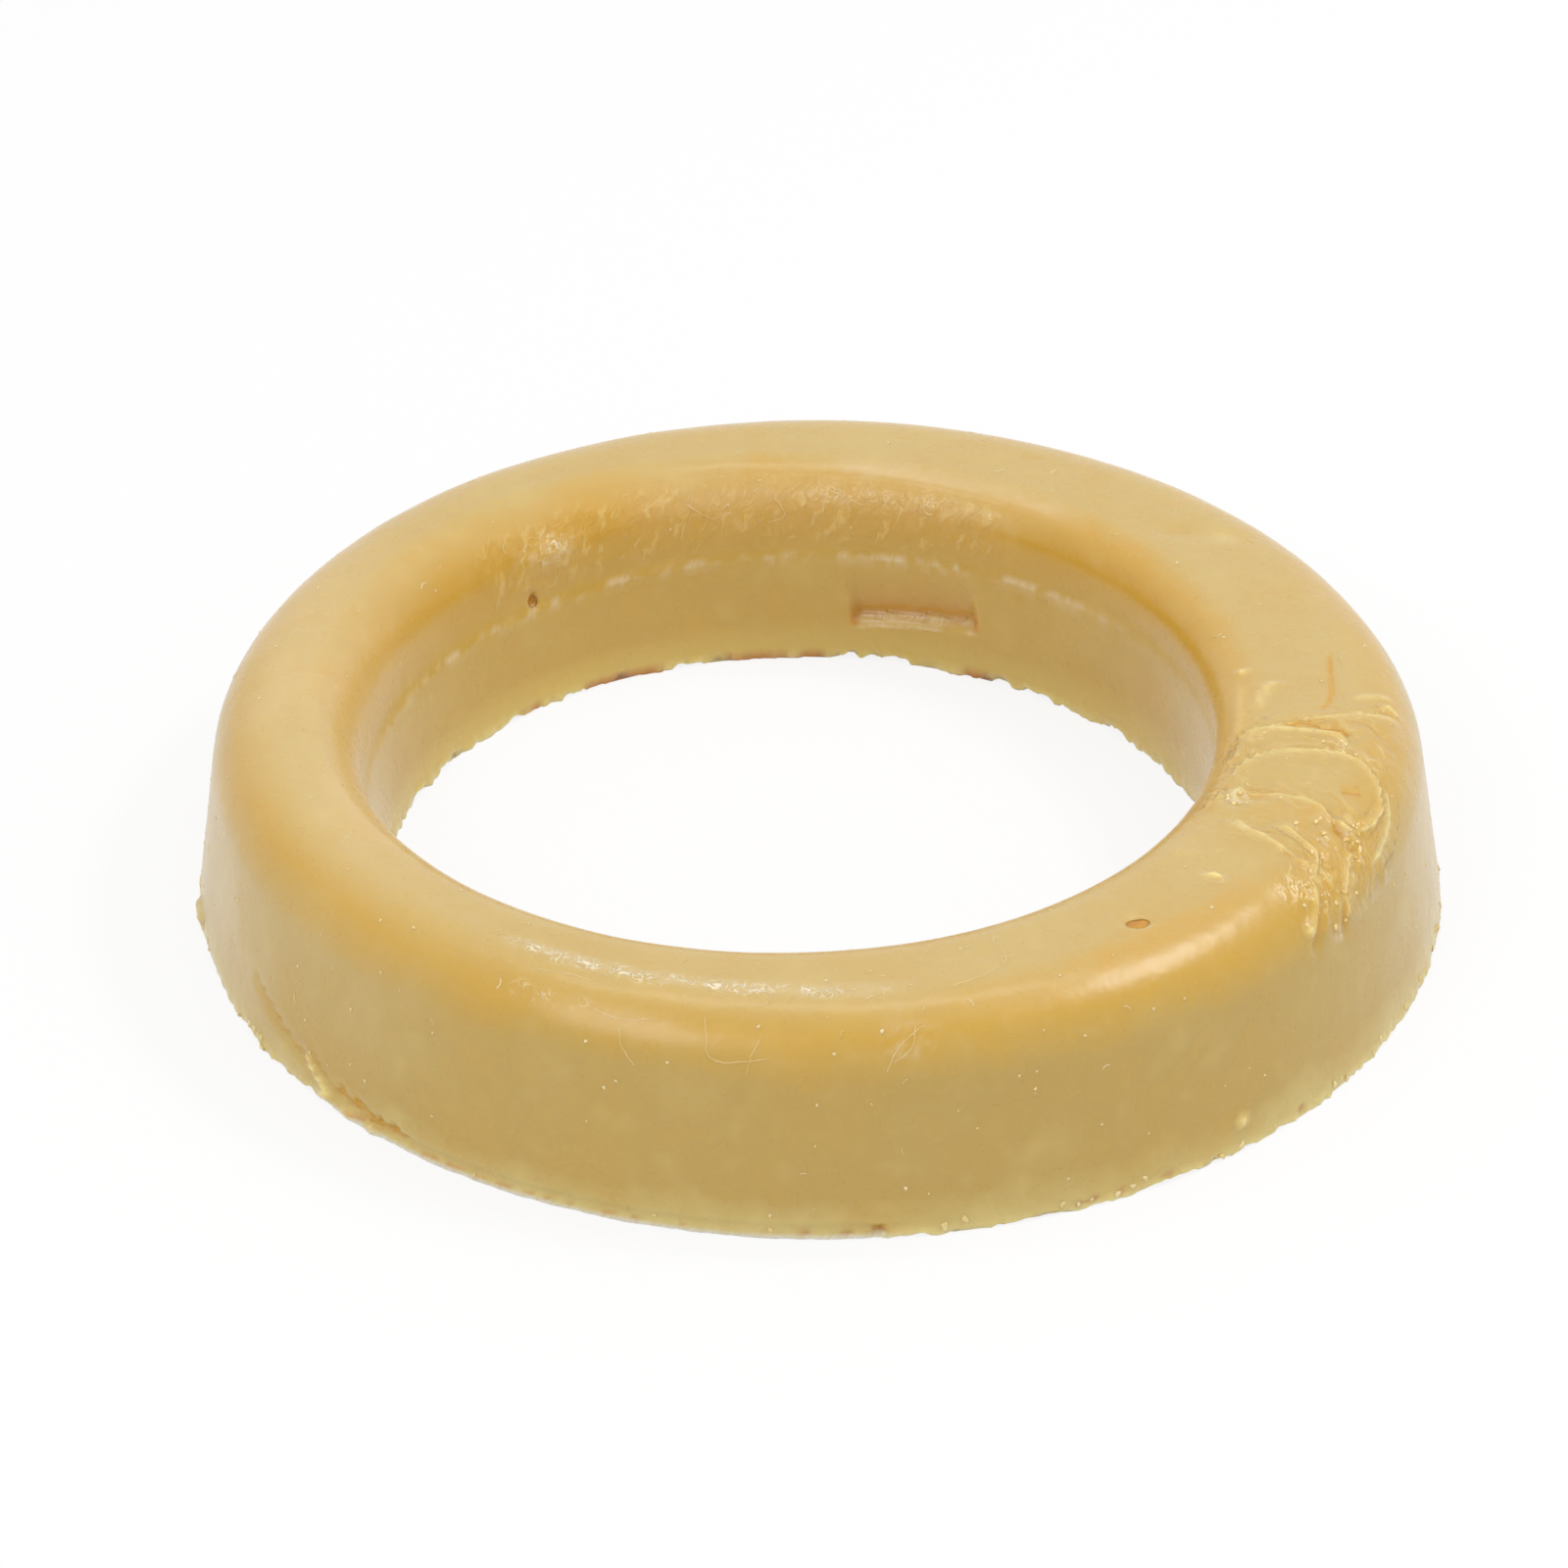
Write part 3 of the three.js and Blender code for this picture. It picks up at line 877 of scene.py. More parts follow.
@dataclass(frozen=True)
class Tongue:
    """Wax smeared over what lies behind it, with a free edge on the right of its body."""

    edge: Points
    lift: float
    run: float
    undercut: float
    grain_size: float = 1.1
    grain_height: float = 0.03
    wobble: float = 0.3
    step: float = 0.3
    edge_strokes_and_highlight: float = 1.0

    WAVER = Grain(11)
    WAVER_SIZE = 1.6
    REACH_IN_RUNS = 3.0
    LIP_START = -0.05
    STRIPE_SWAY = 3.0
    LEAST_HOLLOW = 0.4
    HOLLOW_EDGE = 0.5
    SHADE_PER_UNDERCUT = 1.5
    CREASE_SHADE_PER_UNDERCUT = 1.3
    CREASE_SHADE_SHIFT = 0.15
    HIGHLIGHT_PLACE = 0.3
    HIGHLIGHT_WIDTH = 0.5
    HIGHLIGHT_STRENGTH = 0.7

    def press(self, skin: Skin) -> None:
        """Raises the body, hollows the wax behind its edge, paints shade into the hollow and a highlight
        along the edge.
        """
        near, distance, along = SkinLine(self.edge).measure(skin, self.REACH_IN_RUNS * self.run)
        fade = end_fade(along)
        waver = self.WAVER.at(skin.place[near], self.WAVER_SIZE, 2)
        distance = distance + self.wobble * waver
        thin = np.exp(-np.abs(distance) / self.run)
        lip = smoothstep(distance, self.LIP_START, self.step)
        stripes = np.sin(distance * 2.0 * math.pi / self.grain_size + self.STRIPE_SWAY * waver)
        skin.rise[near] += fade * lip * thin * (self.lift + self.grain_height * stripes)
        behind = np.where(distance >= 0.0, 0.0, -distance / max(self.lift, self.LEAST_HOLLOW))
        hollow = np.exp(-behind ** 2) * smoothstep(behind, 0.0, self.HOLLOW_EDGE)
        skin.rise[near] -= fade * self.undercut * hollow
        skin.tint("amber_and_shade", fade * np.clip(self.SHADE_PER_UNDERCUT * self.undercut, 0.0, 1.0) * hollow, near)
        highlight = bell(distance, self.HIGHLIGHT_PLACE, self.HIGHLIGHT_WIDTH)
        skin.tint("pale_and_highlight", self.HIGHLIGHT_STRENGTH * self.edge_strokes_and_highlight * fade * highlight, near)
        skin.note_line("lip", near, distance, self.edge_strokes_and_highlight * fade)
        skin_value = np.clip(self.CREASE_SHADE_PER_UNDERCUT * self.undercut, 0.0, 1.0)
        skin.note_line("seam", near, distance + self.CREASE_SHADE_SHIFT, fade * skin_value)


@dataclass(frozen=True)
class Crease:
    """A groove, or a ridge where its height is positive."""

    line: Points
    height: float
    width: float
    amber_and_shade: float = 0.0
    pale_and_highlight: float = 0.0
    raggedness: float = 0.25

    RAG = Grain(23)
    RAG_SIZE = 1.1
    REACH_IN_WIDTHS = 4.0
    END_SHARE = 0.2

    def press(self, skin: Skin) -> None:
        """Sinks or raises the skin along the line and tints it: its amber is both the wax's deeper colour and
        painted shade in the groove, its pale partly a painted highlight on the ridge.
        """
        near, distance, along = SkinLine(self.line).measure(skin, self.REACH_IN_WIDTHS * self.width)
        fade = end_fade(along, self.END_SHARE)
        distance = distance + self.raggedness * self.width * self.RAG.at(skin.place[near], self.RAG_SIZE, 2)
        shape = fade * bell(distance, 0.0, self.width)
        skin.rise[near] += self.height * shape
        skin.tint("amber_and_shade", self.amber_and_shade * shape, near)
        skin.tint("pale_and_highlight", self.pale_and_highlight * shape, near)
        if self.amber_and_shade > 0.0:
            skin.note_line("seam", near, distance, fade * self.amber_and_shade)


@dataclass(frozen=True)
class Spot:
    """A round or oval pit, or a bump where its height is positive."""

    angle: float
    across: float
    half_length: float
    half_width: float
    height: float
    amber_and_shade: float = 0.0
    pale_and_highlight: float = 0.0
    sharpness: float = 2.0

    REACH = 2.5

    def press(self, skin: Skin) -> None:
        """Sinks or raises the skin at the spot and tints it: its amber is both the wax's deeper colour and
        painted shade in the pit, its pale partly a painted highlight on the bump.
        """
        centre = math.radians(self.angle) * skin.section.crown_radius
        far = np.hypot((skin.arc - centre) / self.half_length, (skin.across - self.across) / self.half_width)
        near = np.nonzero(far < self.REACH)[0]
        shape = np.exp(-far[near] ** self.sharpness)
        skin.rise[near] += self.height * shape
        skin.tint("amber_and_shade", self.amber_and_shade * shape, near)
        skin.tint("pale_and_highlight", self.pale_and_highlight * shape, near)


@dataclass(frozen=True)
class Pocket:
    """Scoop that an insert of the mould left in the far wall of the hole."""

    angle: float = 73.3
    half_width: float = 7.45
    top: float = 13.2
    deepest: float = 6.6
    bottom: float = 5.4
    depth: float = 1.35
    corner: float = 0.8
    tilt: float = -4.8
    waver: float = 0.1
    scoop_bend: float = 1.5
    lip_drop: float = 0.05
    lip_width: float = 0.25
    lip_height: float = 0.1
    line_rise: float = 0.8
    line_width: float = 0.2
    line_height: float = 0.08
    groove_rise: float = 0.35
    groove_width: float = 0.75
    edge_width: float = 0.6
    shade_drop: float = 0.4

    WAVER = Grain(5)
    WAVER_SIZE = 2.0
    BREAK_SIZE = 2.6
    HOLE_SIDE = -8.0
    LIP_HIGHLIGHT = 0.5
    LINE_HIGHLIGHT = 0.3
    GROOVE_SHADE = 0.7
    EDGE_SHADE_AMBER = 0.8
    EDGE_SHADE_BROWN = 0.5
    SCOOP_SHADE = 0.45
    SHELF_CRUMPLE = 0.5

    def press(self, skin: Skin) -> None:
        """Cuts the scoop: it deepens slowly from its top and comes back over a short shelf. It paints
        highlights on the shelf and shade in the groove, at the ends and over the upper scoop.
        """
        sunk = skin.across < self.HOLE_SIDE
        reach = np.radians(skin.angle - self.angle) * skin.section.hole_radius
        level = skin.level - reach * math.tan(math.radians(self.tilt))
        level = level + self.waver * self.WAVER.at(skin.place, self.WAVER_SIZE)
        ends = 1.0 - smoothstep(np.abs(reach), self.half_width - self.corner, self.half_width + self.corner)
        upper = np.clip((self.top - level) / (self.top - self.deepest), 0.0, 1.0) ** self.scoop_bend
        shelf = np.clip((level - self.bottom) / (self.deepest - self.bottom), 0.0, 1.0)
        skin.rise -= self.depth * np.where(sunk, ends * upper * smoothstep(shelf, 0.0, 1.0), 0.0)

        inside = ends * sunk
        broken = smoothstep(self.WAVER.at(skin.place, self.BREAK_SIZE), -0.3, 0.1)
        lip = bell(level, self.bottom - self.lip_drop, self.lip_width) * inside * broken
        line = bell(level, self.bottom + self.line_rise, self.line_width) * inside
        skin.rise += self.lip_height * lip + self.line_height * line
        # The lip and the line of the shelf are painted as highlights.
        skin.tint("frost_and_glint", self.LIP_HIGHLIGHT * lip + self.LINE_HIGHLIGHT * line)
        groove = bell(level, self.deepest + self.groove_rise, self.groove_width) * inside
        edge = bell(np.abs(reach), self.half_width, self.edge_width) * upper * (level > self.bottom) * sunk
        edge = edge * smoothstep(upper, 0.5, 1.0)
        # Painted shade in the groove under the deepest part, at the ends and over the upper scoop.
        skin.tint("amber_and_shade", np.maximum(self.GROOVE_SHADE * groove, self.EDGE_SHADE_AMBER * edge))
        skin.tint("painted_shade", self.SCOOP_SHADE * upper * inside * (level > self.deepest - self.shade_drop))
        skin.tint("painted_shade", self.EDGE_SHADE_BROWN * edge)
        skin.tint("worked", self.SHELF_CRUMPLE * inside * shelf * (level < self.deepest))


@dataclass(frozen=True)
class BaseEdges:
    """Ragged edges that the base was left with when the ring came out of its tray."""

    outer_burr: float = 0.34
    inner_burr: float = 0.4
    tooth: float = 0.9
    band: float = 1.6
    flash_start: float = -139.0
    flash_end: float = -84.0
    flash_height: float = 0.75
    flash_step: float = 0.3
    flash_seam: float = 0.16
    sliver_height: float = 0.6
    nick_reach: float = 0.55
    nick_level: float = 0.9
    nick_height: float = 0.3
    nick_depth: float = 0.35

    SLIVERS = ((63.0, 68.0), (87.5, 101.5), (110.5, 123.5), (131.0, 135.0))
    SLIVER_BLEND = 1.5
    NICKS = (-91.2, -87.6, -84.7, -66.8, -65.4, -62.7, -58.0, -42.0)
    FOOT = 26.0
    LEANING = 0.95
    COARSE = Grain(31)
    FINE = Grain(37)
    TEETH = Grain(43)

    def press(self, skin: Skin) -> None:
        """Crumbles both edges, tears teeth into them, pales them and paints shade on the slivers, the nicks
        and the seam above the flash.
        """
        low = 1.0 - smoothstep(skin.level, 0.0, self.band)
        round_place = np.stack([skin.place[:, 0], skin.place[:, 1], np.zeros(len(low))], axis=1)
        coarse = self.COARSE.at(round_place, 3.0, 4)
        fine = self.FINE.at(skin.place, 0.9, 2)
        side = np.abs(skin.outward[:, 2]) < self.LEANING
        burr = np.where(skin.across > 0.0, self.outer_burr, self.inner_burr) * (1.0 - 0.7 * self.flash(skin))
        skin.rise += np.where(side, low * burr * (coarse + 0.8 * fine), 0.0)
        self.tear(skin, round_place)
        self.colour(skin, low, coarse)
        self.nick(skin, fine)
        self.colour_flash(skin, side, coarse + fine)

    def flash(self, skin: Skin) -> np.ndarray:
        """Where the strip of flash is left on the outer edge, from 0 to 1."""
        return window(skin.angle, self.flash_start, self.flash_end, 6.0) * (skin.across > 0.0)

    def tear(self, skin: Skin, round_place: np.ndarray) -> None:
        """Lifts teeth out of both edges of the base."""
        inner = skin.across < -self.FOOT
        teeth = smoothstep(self.TEETH.at(round_place, 2.4, 4), -0.1, 0.5)
        height = np.where(inner, self.tooth, 0.5 * self.tooth)
        for start, end in self.SLIVERS:
            kept = 1.0 - 0.8 * window(skin.angle, start, end, self.SLIVER_BLEND)
            height = np.where(inner, height * kept, height)
        lifted = np.clip(1.0 - skin.level / self.band, 0.0, 1.0) * teeth * height
        edge = inner | (skin.across > self.FOOT)
        skin.place[:, 2] += np.where(edge, lifted * (1.0 - 0.8 * self.flash(skin)), 0.0)

    def colour(self, skin: Skin, low: np.ndarray, coarse: np.ndarray) -> None:
        """Pales both edges, and paints brown shade on the low slivers of the inner one."""
        skin.tint("pale_and_highlight", low * (0.75 + 0.35 * coarse))
        reach = 1.0 - smoothstep(skin.level + 0.5 * coarse, self.sliver_height / 2.0, self.sliver_height)
        for start, end in self.SLIVERS:
            sliver = window(skin.angle, start, end, self.SLIVER_BLEND) * (skin.across < -self.FOOT)
            skin.tint("painted_shade", sliver * reach)

    def nick(self, skin: Skin, fine: np.ndarray) -> None:
        """Cuts the small nicks into the outer edge, with painted brown shade inside each."""
        off_level = (skin.level - self.nick_level - 0.3 * fine) / self.nick_height
        for angle in self.NICKS:
            off_angle = (skin.angle - angle) / self.nick_reach
            nick = np.exp(-off_angle ** 2 - off_level ** 2) * (skin.across > 0.0)
            skin.rise -= self.nick_depth * nick
            skin.tint("painted_shade", 0.9 * nick)

    def colour_flash(self, skin: Skin, side: np.ndarray, rough: np.ndarray) -> None:
        """Whitens the strip of flash, steps it back and paints brown shade into the seam above it."""
        flash = self.flash(skin)
        strip = flash * (1.0 - smoothstep(skin.level, 0.5, self.flash_height))
        skin.pale_and_highlight = skin.pale_and_highlight * (1.0 - strip)
        skin.tint("frost_and_glint", strip * side)
        skin.rise -= self.flash_step * flash * side * window(skin.level, self.flash_height, 2.0, 0.5)
        seam = flash * bell(skin.level, self.flash_height + 0.05, self.flash_seam)
        skin.tint("painted_shade", 0.6 * seam * smoothstep(rough, 0.1, 0.5))


def torn_cover(angle: np.ndarray, across: np.ndarray, crown_radius: float) -> np.ndarray:
    """How much wet torn wax lies at each place of the skin.

    Args:
        angle: Angles round the ring.
        across: Distances across the skin.
        crown_radius: Radius of the middle of the crown.

    Returns:
        Numbers from 0 to 1.
    """
    cover = np.zeros(len(angle))
    for place, off_crown, reach, strength in TORN_PLACES:
        off = np.hypot(np.radians(angle - place) * crown_radius, across - off_crown)
        cover = np.maximum(cover, strength * np.exp(-(off / reach) ** 2))
    return cover


@dataclass(frozen=True)
class WearAndPaintedLight:
    """Streaks of waxy film, painted sheen, highlights and glints, golden and paler patches, and the fibrous
    roughness where the mould or a hand dragged the skin.
    """

    roughness: float = 0.1
    fold_height: float = 0.3
    fleck_height: float = 0.12
    ledge_height: float = 0.12
    ledge_across: float = -16.3
    ledge_width: float = 0.55

    WIDE = 3.0
    # First and last angle, distance across, half width and strength. The three wide rows on the side walls
    # are painted sheen; the rows at 50 to 84 and at -116 to -104 degrees are film with a painted highlight.
    FILM_AND_SHEEN_STREAKS = (
        (-122.0, -82.0, 2.6, 1.0, 0.35), (60.0, 112.0, -9.0, 2.6, 0.25), (50.0, 84.0, -4.8, 1.2, 0.35),
        (-12.0, 4.0, 20.0, 10.0, 0.5), (-178.0, -152.0, 21.0, 10.0, 0.45), (-150.0, -128.0, 16.0, 9.0, 0.15),
        (-116.0, -104.0, 8.8, 1.2, 0.3),
    )
    # The last row paints a glint on the far rim.
    SCRIBBLES_AND_GLINT = (
        (-122.0, -84.0, 2.8, 0.8, 1.0), (-119.0, -112.0, 8.2, 0.8, 0.5), (66.0, 86.0, -8.4, 1.0, 0.3),
        (122.0, 129.0, -10.4, 1.3, 0.7),
    )
    # The second row paints a glint on the far rim.
    FLECKS_AND_GLINT = ((-83.0, -80.0, 9.5, 2.6, 0.35), (122.5, 128.5, -10.4, 0.7, 0.5))
    GOLD = (
        (-78.0, -32.0, 2.5, 8.5, 0.35), (-64.0, -38.0, 2.2, 6.2, 0.7), (-14.0, -4.0, 0.0, 8.0, 0.4),
        (-33.0, -21.0, -1.0, 10.0, 0.5), (-172.0, -134.0, 7.0, 13.5, 0.4), (-26.0, 62.0, -8.0, -3.5, 0.5),
        (62.0, 112.0, -13.0, -8.0, 0.4),
    )
    DULL = ((106.0, 150.0, -8.6, -2.0, 1.0),)
    WORKED = (
        (-38.0, -2.0, -6.0, 14.0, 0.18), (-37.0, -21.0, 4.0, 14.0, 1.0), (-14.0, -5.0, 0.0, 8.5, 0.75),
        (-30.0, -9.0, -6.5, -3.2, 0.7), (-26.0, -19.5, -3.5, 2.0, 0.6), (60.0, 136.0, -14.5, -7.0, 0.7),
        (122.0, 129.0, -12.0, -9.0, 1.0),
    )
    WAN = ((155.0, 222.0, -14.0, 7.0, 0.5),)

    def press(self, skin: Skin) -> None:
        """Lays the film and painted sheen, the scribbles and painted glints, and the patches, and roughens
        the skin where it was worked.
        """
        rag = Grain(53).at(skin.place, 1.3, 3)
        self.lay_film_and_sheen(skin, rag)
        for start, end, across, half_width, strength in self.SCRIBBLES_AND_GLINT:
            shape = window(skin.angle, start, end, 7.0) * bell(skin.across - 0.5 * rag, across, half_width)
            skin.tint("scribble_and_glint", strength * shape)
        for strength, patch in self.patches(skin, skin.angle, self.GOLD, 9.0, 3.0):
            skin.tint("amber_and_shade", strength * patch * (0.8 + 0.5 * rag))
        for strength, patch in self.patches(skin, skin.angle, self.DULL, 14.0, 3.0):
            skin.tint("dull", strength * patch)
        self.dash_ledge(skin, rag)
        self.fleck(skin)
        for strength, patch in self.patches(skin, skin.angle, self.WORKED, 5.0, 2.5):
            skin.tint("worked", strength * patch)
        skin.rise += self.fold_height * skin.worked * Grain(61).at(skin.place, 1.8, 4)
        for strength, patch in self.patches(skin, skin.angle % FULL_TURN, self.WAN, 40.0, 5.0):
            skin.tint("wan", strength * patch)

    @staticmethod
    def patches(skin: Skin, angle: np.ndarray, places: tuple[tuple[float, ...], ...], end_blend: float,
                side_blend: float) -> list[tuple[float, np.ndarray]]:
        """Soft-edged patches of the skin.

        Args:
            skin: The skin.
            angle: The angle of each vertex.
            places: First and last angle, lowest and highest distance across, and strength of each.
            end_blend: Softness of their ends, in degrees.
            side_blend: Softness of their sides, in millimetres.

        Returns:
            The strength of each patch and its mask.
        """
        return [
            (strength, window(angle, start, end, end_blend) * window(skin.across, low, high, side_blend))
            for start, end, low, high, strength in places
        ]

    def lay_film_and_sheen(self, skin: Skin, rag: np.ndarray) -> None:
        """Whitens each streak and roughens the narrow ones. The wide ones are a cloudy painted sheen on the
        side walls.
        """
        fine = Grain(59).at(skin.place, 0.9, 2)
        cloud = 0.55 + 0.45 * smoothstep(Grain(73).at(skin.place, 7.0, 3), -0.3, 0.3)
        for start, end, across, half_width, strength in self.FILM_AND_SHEEN_STREAKS:
            wide = half_width >= self.WIDE
            shape = window(skin.angle, start, end, 20.0 if wide else 9.0)
            shape *= bell(skin.across + 0.8 * rag, across, half_width)
            skin.tint("film_and_sheen", strength * shape * (cloud if wide else 1.0))
            if not wide:
                skin.rise += self.roughness * strength * shape * fine

    def dash_ledge(self, skin: Skin, rag: np.ndarray) -> None:
        """Roughens the ledge and paints its highlight line, broken into pale dashes."""
        ledge = bell(skin.across, self.ledge_across, self.ledge_width)
        skin.rise += self.ledge_height * ledge * rag
        dashes = ledge * smoothstep(rag, -0.15, 0.35) * window(skin.angle, 40.0, 165.0, 30.0)
        skin.tint("frost_and_glint", 0.5 * dashes)

    def fleck(self, skin: Skin) -> None:
        """Lays pale flecks, with a painted glint on the far rim, and painted glints where the wax is torn."""
        fleck = smoothstep(Grain(67).at(skin.place, 0.9, 3), 0.0, 0.3)
        for start, end, across, half_width, strength in self.FLECKS_AND_GLINT:
            shape = window(skin.angle, start, end, 6.0) * bell(skin.across, across, half_width)
            skin.tint("frost_and_glint", strength * shape * fleck)
            skin.rise += self.fleck_height * strength * shape * fleck
        glint = smoothstep(Grain(71).at(skin.place, 0.6, 2), 0.15, 0.35)
        skin.tint("frost_and_glint", 0.55 * torn_cover(skin.angle, skin.across, skin.section.crown_radius) * glint)


@dataclass(frozen=True)
class WaxRing:
    """The ring itself: swept, then pressed, smeared and torn."""

    section: RingSection = RingSection()

    TONGUES = (
        Tongue(((-12.0, -5.4), (-7.4, -2.6), (-4.9, -0.2), (-4.2, 3.0), (-3.2, 5.6), (-1.6, 9.0)),
               0.5, 3.5, 0.3),
        Tongue(((-15.5, -5.6), (-10.6, -4.8), (-8.9, -2.9), (-8.4, -1.0), (-8.7, 1.5), (-10.2, 3.6)),
               0.95, 3.0, 0.6),
        Tongue(((-20.5, -5.4), (-15.6, -3.5), (-12.9, -1.0), (-12.5, 2.4), (-13.8, 5.8), (-16.3, 8.0),
                (-19.2, 9.1), (-22.4, 8.7), (-24.8, 7.2)), 0.85, 4.6, 0.35),
        Tongue(((-27.0, -5.6), (-22.6, -3.4), (-21.6, -1.0), (-22.6, 2.2), (-24.2, 5.2)), 0.7, 4.6, 0.5),
        Tongue(((-27.6, 0.8), (-29.2, 3.4), (-30.2, 6.2), (-33.0, 7.8)), 0.5, 2.6, 0.35),
        Tongue(((-27.4, -1.6), (-30.4, 0.8), (-31.8, 3.6), (-32.0, 6.6)), 0.28, 1.8, 0.2),
        Tongue(((-24.6, 8.2), (-27.4, 9.2), (-30.2, 11.0), (-31.6, 13.6)), 0.3, 1.6, 0.3),
        Tongue(((-14.6, 8.6), (-17.6, 10.2), (-21.4, 11.4), (-25.6, 11.6)), 0.22, 2.0, 0.15),
    )
    CREASES = (
        Crease(((10.3, 2.1), (5.0, 1.5), (0.0, 1.3), (-4.6, 0.4)), -0.14, 0.32, amber_and_shade=0.7),
        Crease(((-5.8, -2.2), (-6.6, 0.6), (-8.0, 3.4)), -0.35, 1.3, amber_and_shade=1.0, raggedness=0.6),
        Crease(((-32.4, 2.6), (-32.8, 6.2)), -0.4, 1.1, amber_and_shade=0.6, raggedness=0.6),
        Crease(((-24.4, 5.0), (-25.6, 7.2), (-26.4, 9.4)), -0.7, 0.5, amber_and_shade=1.0),
        Crease(((-24.0, 5.6), (-24.8, 7.8)), 0.45, 0.35, pale_and_highlight=0.9),
        Crease(((-19.8, 4.0), (-18.4, 6.4)), -0.25, 1.3, amber_and_shade=0.9, raggedness=0.6),
        Crease(((-33.5, 8.4), (-35.5, 10.4), (-38.5, 12.6)), 0.5, 0.7, pale_and_highlight=0.4),
        Crease(((-32.0, 8.0), (-36.0, 12.0), (-38.0, 15.0)), -0.35, 0.6, amber_and_shade=0.5),
        Crease(((-29.0, 10.6), (-31.6, 12.4), (-33.2, 15.6)), -0.4, 0.5, amber_and_shade=0.55),
        Crease(((-28.0, 10.2), (-30.4, 11.4), (-32.0, 14.0)), 0.45, 0.5, pale_and_highlight=0.6),
        Crease(((3.4, -1.6), (0.5, -2.8), (-3.8, -3.8)), 0.28, 0.5, pale_and_highlight=0.6),
        Crease(((-1.4, 9.0), (-1.0, 6.2)), 0.4, 0.45, pale_and_highlight=0.7),
        Crease(((-25.0, -2.2), (-22.5, -2.6), (-20.8, -2.2)), 0.35, 0.3, pale_and_highlight=0.9),
        Crease(((-10.0, -5.2), (-4.0, -5.6), (4.0, -5.2)), 0.25, 0.8, pale_and_highlight=0.3),
        Crease(((-5.2, 2.6), (-5.8, 5.2), (-7.4, 7.4)), -0.16, 0.7, amber_and_shade=0.5, raggedness=0.6),
        Crease(((-9.8, 4.6), (-11.0, 6.4), (-12.6, 7.8)), -0.14, 0.7, amber_and_shade=0.5, raggedness=0.6),
        Crease(((-1.0, 3.0), (0.4, 5.6), (1.6, 8.4)), 0.16, 0.5, pale_and_highlight=0.5),
    )
    SPOTS = (
        Spot(-52.8, 1.1, 1.3, 0.75, -0.55, amber_and_shade=0.7, sharpness=4.0),
        Spot(125.5, -10.7, 4.0, 1.4, 0.7, pale_and_highlight=0.3),
        Spot(129.0, -15.3, 0.85, 0.75, -0.8, amber_and_shade=0.6, sharpness=5.0),
        Spot(-40.6, 0.8, 0.62, 0.62, 0.7, pale_and_highlight=1.0, sharpness=2.5),
        Spot(39.6, -0.2, 2.2, 1.1, -0.3, amber_and_shade=0.3),
        Spot(36.5, 2.2, 1.6, 1.0, -0.2, pale_and_highlight=0.4),
        Spot(56.0, -18.0, 0.9, 0.8, -0.35, amber_and_shade=0.4),
        Spot(5.8, -4.6, 0.7, 0.6, 0.35, pale_and_highlight=1.0),
        Spot(-0.9, 7.1, 0.6, 0.5, 0.35, pale_and_highlight=0.8),
        Spot(-11.7, 3.4, 1.0, 0.8, -0.4, amber_and_shade=0.6),
        Spot(-27.5, 5.9, 0.8, 0.6, -0.35, amber_and_shade=0.5),
        Spot(-37.8, 11.8, 0.6, 0.5, 0.4, pale_and_highlight=1.0),
        Spot(-49.5, 28.3, 0.7, 0.7, 0.6, pale_and_highlight=1.0, sharpness=3.0),
        Spot(-22.3, -1.4, 1.4, 1.0, -0.5, amber_and_shade=0.9),
    )

    def wall_line(self, points: Points) -> Points:
        """Turns heights above the base into distances across the skin, on the outer wall."""
        lean = math.cos(math.radians(self.section.outer_draft))
        foot = float(self.section.stops(RingSweep.STEPS)["across"][0])
        return tuple((angle, foot - height / lean) for angle, height in points)

    def torn_foot(self) -> tuple[Tongue | Crease | Spot, ...]:
        """The slab, gash and tab at the torn foot, and the knob beside them."""
        slab = self.wall_line(((-154.0, 8.4), (-150.4, 6.6), (-146.4, 4.9), (-143.2, 3.8), (-140.6, 2.4)))
        flap = self.wall_line(((-143.2, 4.6), (-141.4, 3.3), (-139.6, 2.1), (-138.4, 1.1)))
        cut = self.wall_line(((-142.4, 5.0), (-140.6, 3.6), (-138.9, 2.6)))
        gash = self.wall_line(((-139.4, 3.0), (-137.4, 2.6), (-135.4, 2.1), (-132.0, 1.7), (-127.6, 1.4)))
        knob = self.wall_line(((-173.6, 1.9), (-169.8, 1.4)))
        hole = self.wall_line(((-84.8, 1.1),))
        lumps = self.wall_line(((-139.8, 1.2), (-136.4, 0.9), (-133.4, 0.8)))
        return (
            Tongue(slab, 0.3, 3.0, 0.2, grain_height=0.0, wobble=0.03, step=1.2, edge_strokes_and_highlight=0.0),
            Crease(slab, -0.22, 0.4, amber_and_shade=0.45, raggedness=0.05),
            Crease(cut, -0.3, 0.4, amber_and_shade=0.4),
            Crease(flap, 0.7, 0.45, pale_and_highlight=1.0),
            Crease(gash, -0.6, 0.6, amber_and_shade=0.7, raggedness=1.6),
            Crease(knob, 0.7, 0.8, pale_and_highlight=0.5),
            *(Spot(angle, across, 0.9, 0.6, 0.6, pale_and_highlight=0.9) for angle, across in lumps),
            *(Spot(angle, across, 0.8, 0.5, -0.9, amber_and_shade=0.9) for angle, across in hole),
        )

